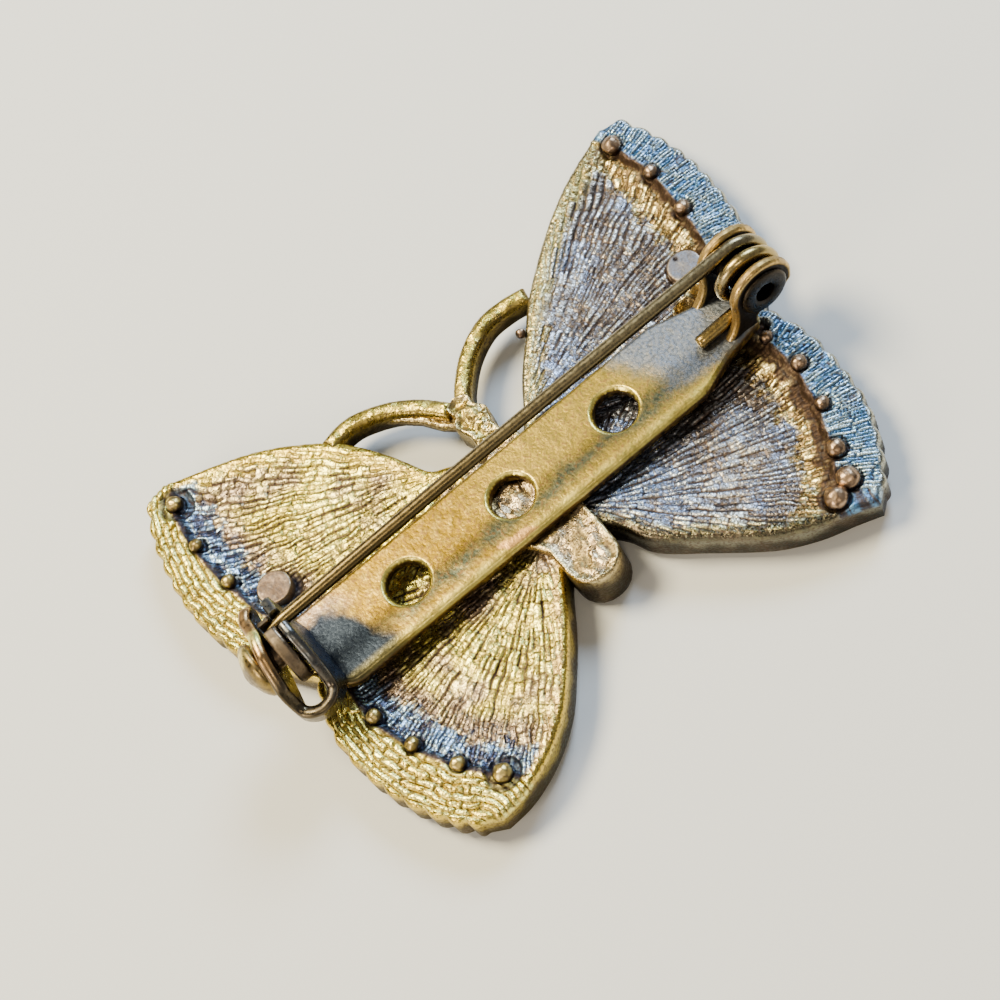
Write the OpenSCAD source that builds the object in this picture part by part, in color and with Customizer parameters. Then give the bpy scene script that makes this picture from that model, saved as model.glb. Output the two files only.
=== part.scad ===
// Cast butterfly brooch, lying face down, with the pin finding on its back.
// +X runs from the catch to the hinge, +Y from tail to head, +Z out of the back.
// The origin is the middle of the box, on the surface that it lies on.

/* [Butterfly] */
// Span from wing margin to wing margin
wing_span = 34.2; // [33.8:0.1:35.4]
// Length from the forewings' tips to the hindwings' tips
wing_length = 26.4; // [26:0.1:27.6]
// Height of the raised crest round each wing's field
crest_h = 2.45; // [2.3:0.05:2.6]
// Height of the wing margin's lower edge above the surface
margin_lift = 0.35; // [0.2:0.05:0.5]
// Slope of the fields, which fall from the body to the crest, in degrees
field_slope = 2.5; // [2:0.1:3]
// Slope of the band outside the crest, in degrees
band_slope = 8; // [6:0.5:9]
// Depth of the scallops along the margins
scallop = 0.14; // [0.1:0.02:0.2]
// Width of an antenna
antenna_w = 0.95; // [0.85:0.05:1.05]
// Radius of the common granules on the crest
granule_r = 0.45; // [0.4:0.01:0.48]
// Radius of the flat round boss on each forewing
boss_r = 0.93; // [0.85:0.01:1]

/* [Pin bar] */
// Width of the bar
bar_w = 4.9; // [4.7:0.05:5]
// Thickness of the bar
bar_t = 0.7; // [0.6:0.05:0.75]
// Height of the bar's underside, where it is soldered down
bar_z = 2.9; // [2.85:0.05:2.95]
// Diameter of the three holes in the bar
hole_d = 2.25; // [2:0.05:2.4]
// Spacing of the three holes
hole_pitch = 6.5; // [6.2:0.1:6.7]

/* [Hinge] */
// Diameter of the pin wire
wire_d = 0.7; // [0.66:0.01:0.72]
// Diameter of the rivet that the coil turns on
rivet_d = 2; // [1.96:0.01:2.02]
// Radius of the rounded ears
ear_r = 1.75; // [1.7:0.01:1.85]
// Thickness of an ear
ear_t = 0.5; // [0.45:0.01:0.5]

/* [Catch] */
// Radius of the turning disc
disc_r = 1.78; // [1.76:0.01:1.8]
// Thickness of the sheet that the catch is folded from
sheet_t = 0.42; // [0.38:0.01:0.42]
// Radius of the knob
knob_r = 1.4; // [1.2:0.05:1.5]

/* [Hidden] */
$fn = 48;
gap = 0.03; // clearance between pieces that only lie against each other
eps = 0.05; // how far fused shapes run into each other

// Sizes that the outlines below are drawn at
drawn_span = 34.2;
drawn_length = 26.4;

// Where the middle of the cast butterfly lies: the finding isn't quite central on it
mid_x = 0.15;

// Outlines of the two sides, each drawn to the right of the butterfly's middle: x, y
// Leading edges of the forewings from the body to the tip
lead_right = [[0.3, 1], [1.5, 2.4], [2.8, 4.3], [4.25, 6], [6, 7.95], [8.9, 10.3], [11.6, 11.95], [14.6, 13.1]];
lead_left = [[0.3, 1], [2, 2.75], [3.5, 3.6], [4.1, 4.8], [4.85, 6.4], [6.5, 8.8], [9.8, 11.3], [14.4, 13.2]];
// Margins of the forewings, which carry the scallops, from the tip on
fore_right = [[15.9, 13], [16.6, 10.8], [16.98, 8.5], [16.93, 6.1], [16.55, 3.6], [15.9, 1.2]];
fore_left = [[15.7, 13.1], [16.6, 11], [17.12, 8.6], [17.3, 6.3], [17, 3.9], [16.2, 1.2]];
// Margins of the hindwings, from the notch at the forewing on
hind_right = [[14.2, -1.4], [14.8, -3.9], [14.75, -6.4], [14.35, -8.8], [13.35, -11], [12.05, -12.85]];
hind_left = [[14.5, -1.4], [15.42, -4], [15.4, -6.7], [14.8, -9.2], [13.75, -11.4], [12.6, -12.85]];
// Tail edges of the hindwings from the tip back to the body
tail_right = [[11.3, -13.2], [10, -12.7], [8.3, -12.1], [6.4, -11], [4, -8.85], [2.2, -7.1], [1.5, -5.6], [0.3, -4]];
tail_left = [[11.6, -13.2], [10, -13.05], [8.1, -12.35], [6.2, -11.1], [4.6, -9.35], [3.2, -7.5], [1.9, -5.5], [0.3, -4]];
// Edge of the sunk field, from the body round the forewing and the hindwing: x, y
field_edge = [[1.6, 1.6], [3.6, 4.3], [5.6, 6.6], [8.6, 9.3], [11.2, 11.05], [13.6, 12.1], [14.3, 10.9],
              [14.2, 7.6], [13.9, 4], [12.9, 0.6], [12.3, -2.6], [12.1, -5.4], [11.4, -8.2], [10.4, -10.9],
              [9, -11.3], [7, -10.3], [5, -8.6], [3.2, -6.4], [1.6, -4]];
// Granules of a wing pair, measured like the outlines: x, y, radius as a share of the common one
granules = [[14.5, 11.73, 1.3], [14.92, 8.95, 1], [14.75, 6.07, 1], [13.25, -4.98, 1],
            [12.65, -7.45, 1], [11.55, -9.75, 1.15], [10.75, -11.75, 1.3], [9.6, -12, 1]];
// Granule beside the hinge and its like at the catch, low enough to clear the pin bar: x, y
low_granule = [13.14, -2.62];
// Bosses, which lie a little differently on the two forewings: x, y
boss_right = [12.75, 3.5];
boss_left = [-13.17, 4.2];
boss_h = 2.62;
// Middle lines of the antennae from the head to the forewing: x, y
antenna_right = [[-0.1, 5.5], [0.48, 6.35], [1.75, 7.56], [3.3, 8.33], [4.75, 8.37], [6, 8.12]];
antenna_left = [[-0.8, 5.6], [-1.87, 6.96], [-3.1, 7.97], [-4.58, 8.66], [-5.6, 8.78], [-6.7, 8.55]];
antenna_z = [0.9, 2.5];
// Abdomen and head: x, y, corner radius
abdomen = [[-1.85, -7.4, 1.35], [0.95, -7.4, 1.35], [1, -4.5, 0.4], [0.95, 2.2, 0.4],
           [-2.7, 2.2, 0.4], [-2.7, -2.9, 0.4], [-1.9, -4.5, 0.4]];
head = [[-1.15, 1.6, 0.2], [0.6, 1.6, 0.2], [0.45, 5.85, 0.4], [-1, 5.85, 0.4]];
head_h = 2.6;
// Solder beside the hinge: x, y, corner radius
solder = [[10.4, 0.3, 0.3], [12.7, 0.3, 0.3], [12.6, 1.95, 0.5], [10.5, 1.55, 0.3]];
solder_h = 3.25;

// Pin bar
bar_y = -1.15;
bar_end = -13.4;
neck_end = 13.25;
bar_top = bar_z + bar_t;
bar_head = bar_y + bar_w / 2;
bar_tail = bar_y - bar_w / 2;
roll_w = 0.65; // width of the rolled edge on the tail side
roll_drop = 0.22; // how far that edge is rolled down
middle_hole = -1.31;
hole_bevel = 0.18;

// Hinge
hinge_x = 14.05;
hinge_z = 5.55;
rivet_r = rivet_d / 2;
coil_clear = 0.06; // running clearance of the coil on the rivet
wire_r = wire_d / 2;
coil_r = rivet_r + coil_clear + wire_r;
pin_y = -0.25;
// Where the wire lies along the rivet: half turns from the pin, y
coil_course = [[0, pin_y], [1, -0.78], [2, -1.2], [3, -1.54]];
leg_y = coil_course[3][1];
coil_step = 15; // turn from one ring of the coil's tube to the next, in degrees
tube_r = wire_r - 0.005; // the coil's tube starts inside the pin
far_ear = pin_y + wire_r + 0.05;
near_ear = leg_y - wire_r - gap;
rivet_head_r = 1.3;
rivet_head_t = 0.18;
rivet_bore_r = 0.55;
pin_drop = 0.4; // the pin falls towards the catch by this angle
pin_l = 27.2; // from the coil to where the point begins
point_l = 1.3;
point_r = 0.1;
leg_l = 3.8;
leg_z = bar_top + gap + wire_r; // height at which the spring leg's end lies on the bar
leg_fall = asin((hinge_z - coil_r - leg_z) / leg_l) - pin_drop;

// Catch: two cheeks that open towards the fold between them at the tail side
axis_y = -0.95;
axis_z = 5.65;
cheek_r = disc_r + 0.12;
right_face = -13.28; // outer face of the right cheek beside the pin
left_face = -15.13; // outer face of the left cheek beside the pin
right_turn = 7.2;
left_turn = -13;
fold_start = [-2.3, 4.05]; // lower corner of the cheeks' strips where the fold begins: y, z
fold_lean = 30; // the fold leans by this angle
fold_l = 1.4;
disc_t = 0.5;
disc_x = -14.39;
pin_z = hinge_z + coil_r - (hinge_x - right_face) * sin(pin_drop);
notch_w = wire_d + 0.2;
slot_w = 0.54; // the point is thinner than the wire where it enters the disc
slot_at = [pin_y - axis_y, pin_z - axis_z];
slot_r = norm(slot_at);
slot_from = atan2(slot_at[1], slot_at[0]);
slot_turn = 92;
hub_r = 0.6;
hub_clear = 0.05;
knob_x = -15.67;
knob_t = 1.05;

// Points of a smooth curve through the given ones, n on each stretch
function curve(p, n = 4) = [for (i = [0 : len(p) - 2], k = [0 : n - 1])
    let (a = p[max(i - 1, 0)], b = p[i], c = p[i + 1], d = p[min(i + 2, len(p) - 1)], t = k / n)
    (2 * b + (c - a) * t + (2 * a - 5 * b + 4 * c - d) * t * t + (3 * b - a - 3 * c + d) * t * t * t) / 2];

// Direction of a curve at its point i
function along(p, i) = let (d = p[min(i + 1, len(p) - 1)] - p[max(i - 1, 0)]) d / norm(d);

// A smooth curve pressed in between scallops that are four points long
function scallops(p) = let (c = curve(p, 8)) [for (i = [0 : len(c) - 1])
    let (d = along(c, i)) c[i] - scallop * (1 - abs(sin(45 * i))) * [-d[1], d[0]]];

// An outline whose corners are rounded by the radius in their third column
function rounded(p, n = 5) = [for (i = [0 : len(p) - 1])
    let (a = xy(p[(i + len(p) - 1) % len(p)]), b = xy(p[i]), c = xy(p[(i + 1) % len(p)]),
         u = (a - b) / norm(a - b), v = (c - b) / norm(c - b), half = acos(u * v) / 2,
         r = p[i][2], m = b + (u + v) / norm(u + v) * r / sin(half),
         s = b + u * r / tan(half) - m, e = b + v * r / tan(half) - m, turn = 180 - 2 * half)
    for (k = [0 : n]) m + (s * sin(turn * (1 - k / n)) + e * sin(turn * k / n)) / sin(turn)];
function xy(p) = [p[0], p[1]];

// Both edges of a strip of width w along a curve
function strip(p, w) = let (c = curve(p), last = len(c) - 1)
    concat([for (i = [0 : last]) let (d = along(c, i)) c[i] + w / 2 * [-d[1], d[0]]],
           [for (i = [last : -1 : 0]) let (d = along(c, i)) c[i] - w / 2 * [-d[1], d[0]]]);

// Points drawn at the standard size, brought to the brooch's own
function sized(p) = [for (q = p) [q[0] * wing_span / drawn_span, q[1] * wing_length / drawn_length]];

// Outline of one side's two wings
function wing_outline(lead, fore, hind, tail) = sized(concat(curve(lead), [lead[len(lead) - 1]],
    scallops(fore), scallops(hind), curve(tail), [tail[len(tail) - 1]]));

// Material outside the crest, taken off down a slope that falls away from a line
module band_cut(x, y, turn) {
    place = sized([[x, y]])[0];
    translate([place[0], place[1], crest_h])
        rotate([0, 0, turn])
        rotate([0, band_slope, 0])
        translate([0, -9, 0])
        cube([8, 18, 3]);
}

// One side's wings with crest, sunk field, sloping band and the plain raised front
module wing_pair(outline) {
    difference() {
        translate([0, 0, margin_lift])
            linear_extrude(crest_h - margin_lift)
            polygon(outline);
        translate([0, 0, crest_h])
            rotate([0, field_slope, 0])
            linear_extrude(3)
            polygon(sized(curve(field_edge)));
        band_cut(14.5, 9.2, 0);
        band_cut(12.3, -7.4, -16);
    }
    linear_extrude(margin_lift + eps)
        polygon(sized(curve(field_edge)));
    for (g = granules) {
        at = sized([g])[0];
        translate([at[0], at[1], crest_h + 0.05])
            sphere(granule_r * g[2]);
    }
    at = sized([low_granule])[0];
    translate([at[0], at[1], crest_h - 0.25])
        sphere(granule_r);
}

module boss(at) {
    place = sized([at])[0];
    translate([place[0], place[1], margin_lift + eps])
        cylinder(r = boss_r, h = boss_h - margin_lift - eps);
}

module antenna(line) {
    translate([0, 0, antenna_z[0]])
        linear_extrude(antenna_z[1] - antenna_z[0])
        polygon(strip(line, antenna_w));
}

// Body, head and solder, up to the bar that they carry
module trunk() {
    linear_extrude(bar_z + eps)
        polygon(rounded(abdomen));
    translate([0, 0, margin_lift])
        linear_extrude(head_h - margin_lift)
        polygon(rounded(head));
    translate([0, 0, margin_lift + eps])
        linear_extrude(solder_h - margin_lift - eps)
        polygon(rounded(solder));
}

// Stamped bar with a rolled tail edge, three bevelled holes and a neck at the hinge
module pin_bar() {
    outline = [[bar_end, bar_tail, 1.1], [9.05, bar_tail, 2], [11.15, -2.82, 1],
               [neck_end, near_ear - ear_t, 0.1], [neck_end, far_ear + ear_t, 0.1],
               [11.55, far_ear + ear_t - 0.1, 1], [9.15, bar_head, 2], [bar_end, bar_head, 0.1]];
    section = [[bar_tail - 1, bar_z], [bar_head + 1, bar_z], [bar_head + 1, bar_top],
               [bar_tail + roll_w, bar_top], [bar_tail, bar_top - roll_drop], [bar_tail - 1, bar_top - roll_drop]];
    difference() {
        intersection() {
            translate([0, 0, bar_z])
                linear_extrude(bar_t)
                polygon(rounded(outline));
            rotate([90, 0, 90])
                linear_extrude(40, center = true)
                polygon(section);
        }
        for (i = [-1 : 1])
            translate([middle_hole + i * hole_pitch, bar_y, bar_z]) {
                translate([0, 0, eps])
                    cylinder(d = hole_d, h = bar_t);
                translate([0, 0, bar_t - hole_bevel])
                    cylinder(r1 = hole_d / 2, r2 = hole_d / 2 + 2 * hole_bevel, h = 2 * hole_bevel);
            }
    }
}

// Ear folded up from the neck of the bar, with its inner face at y
module ear(y) {
    foot = [[11.25, bar_z + 0.2], [neck_end, bar_z + 0.2], [13.45, 3.95], [hinge_x, hinge_z],
            [hinge_x - ear_r, hinge_z + 0.1], [12.15, 4.6], [11.85, 4]];
    translate([0, y + ear_t, 0])
        rotate([90, 0, 0])
        linear_extrude(ear_t)
        polygon(foot);
    translate([hinge_x, y + ear_t, hinge_z])
        rotate([90, 0, 0])
        cylinder(r = ear_r, h = ear_t);
}

// Cheek of the catch in its own plane, with a horn beside the pin and a strip towards the fold
module cheek(face, turn, foot) {
    // Side view: y, z, corner radius
    side = [[fold_start[0], fold_start[1], 0.1], [0.6, 4.3, 0.9], [1.6, 5.1, 0.9], [1.45, 6.75, 0.9],
            [0, 7.2, 0.5], [-2.4, 7.1, 1.2],
            [fold_start[0] - fold_l * sin(fold_lean), fold_start[1] + fold_l * cos(fold_lean), 0.1]];
    translate([face, pin_y, 0])
        rotate([0, 0, turn])
        translate([0, -pin_y, 0]) {
            rotate([90, 0, 90])
                linear_extrude(sheet_t)
                polygon(rounded(side));
            translate([0, axis_y, axis_z])
                rotate([0, 90, 0])
                cylinder(r = cheek_r, h = sheet_t);
            if (foot)
                translate([0, -2.1, bar_z])
                    cube([sheet_t, 2.6, 2.2]);
        }
}

// Sheet folded round the disc: two cheeks and the fold that joins them at the tail side
module catch_housing() {
    cheek(right_face - sheet_t, right_turn, true);
    cheek(left_face, left_turn, false);
    away = pin_y - fold_start[0];
    right_x = right_face + away * tan(right_turn);
    left_x = left_face + away * tan(left_turn);
    translate([(right_x + left_x) / 2, fold_start[0], fold_start[1]])
        rotate([fold_lean, 0, 0])
        translate([0, 2 * eps, 0])
        rotate([0, 0, 180])
        rotate_extrude(angle = 180)
        translate([(right_x - left_x) / 2 - sheet_t, 0])
        square([sheet_t, fold_l]);
}

// The cast butterfly
module casting() {
    wing_pair(wing_outline(lead_right, fore_right, hind_right, tail_right));
    mirror([1, 0, 0])
        wing_pair(wing_outline(lead_left, fore_left, hind_left, tail_left));
    boss(boss_right);
    boss(boss_left);
    antenna(antenna_right);
    antenna(antenna_left);
    trunk();
}

// The butterfly with the finding that is soldered to its back
module brooch_body() {
    color("darkgoldenrod")
        difference() {
            union() {
                translate([mid_x, 0, 0])
                    casting();
                pin_bar();
                ear(far_ear);
                ear(near_ear - ear_t);
                catch_housing();
            }
            // Rivet hole through both ears
            translate([hinge_x, 3, hinge_z])
                rotate([90, 0, 0])
                cylinder(r = rivet_r + gap, h = 8);
            // Hub hole through the left cheek
            translate([left_face - 0.5, axis_y, axis_z])
                rotate([0, 90, 0])
                cylinder(r = hub_r + hub_clear, h = 1.2);
            // Notch in the right cheek that the pin drops into
            translate([right_face - 0.7, pin_y, pin_z]) {
                rotate([0, 90, 0])
                    cylinder(d = notch_w, h = 1);
                translate([0, -notch_w / 2, 0])
                    cube([1, notch_w, 3]);
            }
        }
}

// Hollow rivet with a flat ring at each end
module hinge_rivet() {
    ends = [far_ear + ear_t + gap, near_ear - ear_t - gap];
    color("peru")
        difference() {
            union() {
                translate([hinge_x, ends[0] + rivet_head_t, hinge_z])
                    rotate([90, 0, 0])
                    cylinder(r = rivet_r, h = ends[0] - ends[1] + 2 * rivet_head_t);
                for (y = [ends[0] + rivet_head_t, ends[1]])
                    translate([hinge_x, y, hinge_z])
                        rotate([90, 0, 0])
                        cylinder(r = rivet_head_r, h = rivet_head_t);
            }
            translate([hinge_x, 4, hinge_z])
                rotate([90, 0, 0])
                cylinder(r = rivet_bore_r, h = 10);
        }
}

// Rings of the coil's tube, from inside the pin round the rivet to the leg's end: centre, outward direction
function coil_rings() = concat([[[-1, pin_y, coil_r], [0, 0, 1]]],
    [for (a = [0 : coil_step : 540]) let (out = [sin(a), 0, cos(a)])
        [coil_r * out + [0, lookup(a / 180, coil_course), 0], out]],
    [[[-leg_l * cos(leg_fall), leg_y, -coil_r - leg_l * sin(leg_fall)], [0, 0, -1]]]);

// Tube through rings that all stand along the rivet
module tube(rings, r, sides = 12) {
    last = len(rings) - 1;
    polyhedron(
        points = [for (ring = rings, i = [0 : sides - 1])
            ring[0] + r * (cos(360 * i / sides) * ring[1] + sin(360 * i / sides) * [0, 1, 0])],
        faces = concat(
            [[for (i = [sides - 1 : -1 : 0]) i]],
            [for (k = [0 : last - 1], i = [0 : sides - 1]) let (j = (i + 1) % sides)
                [k * sides + i, k * sides + j, (k + 1) * sides + j, (k + 1) * sides + i]],
            [[for (i = [0 : sides - 1]) last * sides + i]]));
}

// One wire: pin with its point, one and a half turns of coil, spring leg
module pin_wire() {
    color("darkkhaki")
        translate([hinge_x, 0, hinge_z])
        rotate([0, -pin_drop, 0]) {
            translate([-eps, pin_y, coil_r])
                rotate([0, -90, 0])
                rotate_extrude()
                polygon([[0, 0], [wire_r, 0], [wire_r, pin_l], [point_r, pin_l + point_l], [0, pin_l + point_l]]);
            tube(coil_rings(), tube_r);
        }
}

function arc(centre, r, from, to, n = 8) = [for (i = [0 : n])
    let (a = from + (to - from) * i / n) centre + r * [cos(a), sin(a)]];

// Slot of the disc: the way in from above, then round the axis past the held point
function slot_outline() = let (half = slot_w / 2, last = slot_from - slot_turn,
    meet = acos((slot_at[0] + half) / (slot_r + half)))
    concat([[slot_at[0] - half, disc_r + 1], [slot_at[0] + half, disc_r + 1]],
           arc([0, 0], slot_r + half, meet, last, 16),
           arc(slot_r * [cos(last), sin(last)], half, last - 15, last - 165),
           arc([0, 0], slot_r - half, last, slot_from, 16),
           arc(slot_at, half, slot_from + 165, 180, 4));

// Turning disc with its hub and knob, and the slot that takes and holds the point
module catch_rotor() {
    color("goldenrod")
        translate([0, axis_y, axis_z]) {
            difference() {
                translate([disc_x, 0, 0])
                    rotate([0, 90, 0])
                    cylinder(r = disc_r, h = disc_t);
                translate([disc_x - 0.1, 0, 0])
                    rotate([90, 0, 90])
                    linear_extrude(disc_t + 0.2)
                    polygon(slot_outline());
            }
            translate([knob_x - eps, 0, 0])
                rotate([0, 90, 0])
                cylinder(r = hub_r, h = disc_x - knob_x + 2 * eps);
            translate([knob_x, 0, 0])
                rotate([0, -90, 0])
                rotate_extrude()
                polygon([[0, 0], [knob_r - 0.3, 0], [knob_r, 0.2], [knob_r - 0.05, 0.45],
                         [knob_r - 0.25, 0.72], [knob_r * 0.55, knob_t - 0.1], [0, knob_t]]);
        }
}

brooch_body();
hinge_rivet();
pin_wire();
catch_rotor();
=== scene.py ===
import bmesh
import bpy
import math
import numpy as np
from mathutils import Matrix, Vector
from mathutils.geometry import delaunay_2d_cdt


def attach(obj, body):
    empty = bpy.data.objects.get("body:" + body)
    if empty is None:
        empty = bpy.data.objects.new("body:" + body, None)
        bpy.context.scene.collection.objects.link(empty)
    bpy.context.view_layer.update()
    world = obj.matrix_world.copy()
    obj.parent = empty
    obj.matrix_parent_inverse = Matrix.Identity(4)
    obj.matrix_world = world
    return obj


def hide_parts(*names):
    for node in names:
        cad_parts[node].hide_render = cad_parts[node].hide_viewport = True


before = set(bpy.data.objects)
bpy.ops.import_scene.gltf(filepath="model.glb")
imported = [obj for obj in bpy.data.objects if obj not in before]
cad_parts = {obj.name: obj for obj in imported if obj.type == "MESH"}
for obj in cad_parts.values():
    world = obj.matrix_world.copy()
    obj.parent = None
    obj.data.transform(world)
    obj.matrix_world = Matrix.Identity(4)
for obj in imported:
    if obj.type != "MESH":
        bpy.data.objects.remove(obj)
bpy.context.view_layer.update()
mm = 0.001  # the tables in this file are in millimetres

# Where the finding sits, as in the part's source
castingMiddle = 0.15
hinge = {"x": 14.05, "z": 5.55, "coilRadius": 1.41, "wireRadius": 0.35}
catchAxis = {"y": -0.95, "z": 5.65}
barPlace = {"middle": -1.15, "holes": [-7.81, -1.31, 5.19]}


# Curves, noise and distances

def smoothStep(low, high, x):
    t = np.clip((x - low) / (high - low), 0, 1)
    return t * t * (3 - 2 * t)


def bell(x, width, power=2):
    # 1 at x = 0, falling off to both sides; a higher power makes the top flatter
    return np.exp(-np.abs(x / width) ** power)


def roundOff(d, r):
    # how far an edge rounded with radius r has dropped at the distance d from it
    return r - np.sqrt(np.maximum(0, r * r - (r - np.minimum(d, r)) ** 2))


def curveThrough(points, steps=8):
    p = np.array(points, float)
    t = (np.arange(steps) / steps)[:, None]
    out = []
    for i in range(len(p) - 1):
        a, b, c, d = p[max(i - 1, 0)], p[i], p[i + 1], p[min(i + 2, len(p) - 1)]
        bend, twist = 2 * a - 5 * b + 4 * c - d, 3 * b - a - 3 * c + d
        out.append((2 * b + (c - a) * t + bend * t ** 2 + twist * t ** 3) / 2)
    return np.vstack(out + [p[-1:]])


def sideways(curve):
    # unit vectors across a curve, to its left
    along = np.gradient(curve, axis=0)
    along /= np.linalg.norm(along, axis=1)[:, None]
    return np.column_stack([-along[:, 1], along[:, 0]])


def evenly(loop, step):
    p = np.vstack([loop, loop[:1]])
    run = np.concatenate([[0], np.cumsum(np.hypot(*np.diff(p, axis=0).T))])
    count = max(int(round(run[-1] / step)), 3)
    at = np.linspace(0, run[-1], count + 1)[:count]
    return np.column_stack([np.interp(at, run, p[:, 0]), np.interp(at, run, p[:, 1])])


def circle(x, y, r, count):
    turn = 2 * np.pi * np.arange(count) / count
    return np.column_stack([x + r * np.cos(turn), y + r * np.sin(turn)])


def roundedCorners(table, steps=5):
    # table rows: a corner's place and its radius
    out = []
    for i, (x, y, r) in enumerate(table):
        b = np.array([x, y])
        a, c = np.array(table[i - 1][:2]), np.array(table[(i + 1) % len(table)][:2])
        u, v = (a - b) / np.linalg.norm(a - b), (c - b) / np.linalg.norm(c - b)
        half = math.acos(np.clip(u @ v, -1, 1)) / 2
        middle = b + (u + v) / np.linalg.norm(u + v) * r / math.sin(half)
        start, end = b + u * r / math.tan(half) - middle, b + v * r / math.tan(half) - middle
        turn = math.pi - 2 * half
        for f in np.arange(steps + 1) / steps:
            arm = start * math.sin(turn * (1 - f)) + end * math.sin(turn * f)
            out.append(middle + arm / math.sin(turn))
    return np.array(out)


hashFactors = (374761393, 668265263, 1274126177, 1103515245)


def lattice(i, j, seed):
    # a repeatable number from -1 to 1 for each pair of whole numbers
    a, b, c, d = hashFactors
    h = (i * a + j * b + seed * c) & 0xFFFFFFFF
    h = ((h ^ (h >> 13)) * d) & 0xFFFFFFFF
    return ((h ^ (h >> 16)) & 0xFFFF) / 32767.5 - 1


def whole(x):
    return np.floor(x).astype(np.int64)


def noise(x, y, seed, scale=1):
    x, y = x * scale, y * scale
    i, j = whole(x), whole(y)
    u, v = x - i, y - j
    u, v = u * u * (3 - 2 * u), v * v * (3 - 2 * v)
    near = lattice(i, j, seed) * (1 - u) + lattice(i + 1, j, seed) * u
    far = lattice(i, j + 1, seed) * (1 - u) + lattice(i + 1, j + 1, seed) * u
    return near * (1 - v) + far * v


def roughness(x, y, seed, scale=1, octaves=3):
    x, y, total = x * scale, y * scale, 0
    for k in range(octaves):
        total = total + noise(x, y, seed + k, 2 ** k) / 2 ** k
    return total / (2 - 2 ** (1 - octaves))


def nearest(line, x, y, closed=False):
    # distance to the line, and how far along it the nearest place is
    p = np.vstack([line, line[:1]]) if closed else line
    best = np.full(x.shape, 1e9)
    along = np.zeros(x.shape)
    run = 0
    for a, b in zip(p[:-1], p[1:]):
        d = b - a
        length = math.hypot(*d)
        if length == 0:
            continue
        t = np.clip(((x - a[0]) * d[0] + (y - a[1]) * d[1]) / length ** 2, 0, 1)
        gap = (x - a[0] - t * d[0]) ** 2 + (y - a[1] - t * d[1]) ** 2
        closer = gap < best
        best = np.where(closer, gap, best)
        along = np.where(closer, run + t * length, along)
        run += length
    return np.sqrt(best), along


def isInside(line, x, y):
    odd = np.zeros(x.shape, bool)
    for a, b in zip(line, np.roll(line, -1, axis=0)):
        if a[1] == b[1]:
            continue
        crosses = (a[1] > y) != (b[1] > y)
        odd ^= crosses & (x < a[0] + (y - a[1]) * (b[0] - a[0]) / (b[1] - a[1]))
    return odd


def area(line):
    q = np.roll(line, -1, axis=0)
    return np.sum(line[:, 0] * q[:, 1] - q[:, 0] * line[:, 1]) / 2


# Meshes: a shape is its points in millimetres, its faces and its marks, which the materials read:
# tone is the colour, painted highlights and shade included, cavity the dirt in hollows, clean keeps the
# mottling away

def addPiece(name, shape, material, body="brooch", stands="brooch_body", sharp=50, outwards=False):
    points, faces, marks = shape
    mesh = bpy.data.meshes.new(name)
    mesh.from_pydata((np.asarray(points) * mm).tolist(), [], faces)
    mesh.materials.append(material)
    mesh.polygons.foreach_set("use_smooth", [True] * len(mesh.polygons))
    mesh.set_sharp_from_angle(angle=math.radians(sharp))
    for key, values in marks.items():
        if values.ndim == 2:
            colours = np.column_stack([values, np.ones(len(values))]).astype(np.float32)
            mesh.attributes.new(key, "FLOAT_COLOR", "POINT").data.foreach_set("color", colours.ravel())
        else:
            mesh.attributes.new(key, "FLOAT", "POINT").data.foreach_set("value", values.astype(np.float32))
    mesh.update()
    piece = bpy.data.objects.new(name, mesh)
    bpy.context.scene.collection.objects.link(piece)
    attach(piece, body)
    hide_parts(stands)
    if outwards:  # turn the faces' normals outwards
        b = bmesh.new()
        b.from_mesh(mesh)
        bmesh.ops.recalc_face_normals(b, faces=b.faces)
        b.to_mesh(mesh)
        b.free()


def triangulate(loops, rings, step, hidden=None):
    low, high = rings[0].min(0), rings[0].max(0)
    ys = np.arange(low[1], high[1], step * 0.866)
    x, y = np.meshgrid(np.arange(low[0], high[0], step), ys)
    odd = (np.arange(len(ys)) % 2)[:, None]
    fourth = (np.arange(x.shape[1]) % 2 == 0) & (odd == 0)
    grid = np.column_stack([(x + odd * step / 2).ravel(), y.ravel()])
    if hidden:  # a quarter of the points does where nothing is seen
        grid = grid[fourth.ravel() | ~hidden(*grid.T)]
    grid = grid[isInside(loops[0], *grid.T)]
    for loop in loops:
        grid = grid[nearest(loop, *grid.T, closed=True)[0] > 0.6 * step]
    for hole in loops[1:]:
        grid = grid[~isInside(hole, *grid.T)]
    edges, start = [], 0
    for ring in rings:
        n = len(ring)
        edges += [(start + i, start + (i + 1) % n) for i in range(n)]
        start += n
    every = [Vector(p) for p in np.vstack(rings + [grid])]
    verts, _, faces, origins, _, _ = delaunay_2d_cdt(every, edges, [], 1, 1e-9)
    points = np.array([tuple(v) for v in verts])
    place = {source: k for k, sources in enumerate(origins) for source in sources}
    faces = np.array([f for f in faces if len(f) == 3])
    for hole in rings[1:]:
        middle = points[faces].mean(axis=1)
        faces = faces[~isInside(hole, *middle.T)]
    a, b, c = (points[faces[:, k]] for k in range(3))
    turned = (b[:, 0] - a[:, 0]) * (c[:, 1] - a[:, 1]) - (b[:, 1] - a[:, 1]) * (c[:, 0] - a[:, 0]) < 0
    faces[turned] = faces[turned][:, ::-1]
    return points, faces, np.array([place[i] for i in range(start)])


def joinRows(rows):
    # faces between neighbouring rings of points; a ring may be one point repeated
    faces = []
    for a, b in zip(rows[:-1], rows[1:]):
        for i in range(len(a)):
            j = (i + 1) % len(a)
            face = [a[i], a[j], b[j], b[i]]
            faces.append([v for n, v in enumerate(face) if v != face[n - 1]])
    return [face for face in faces if len(face) > 2]


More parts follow.
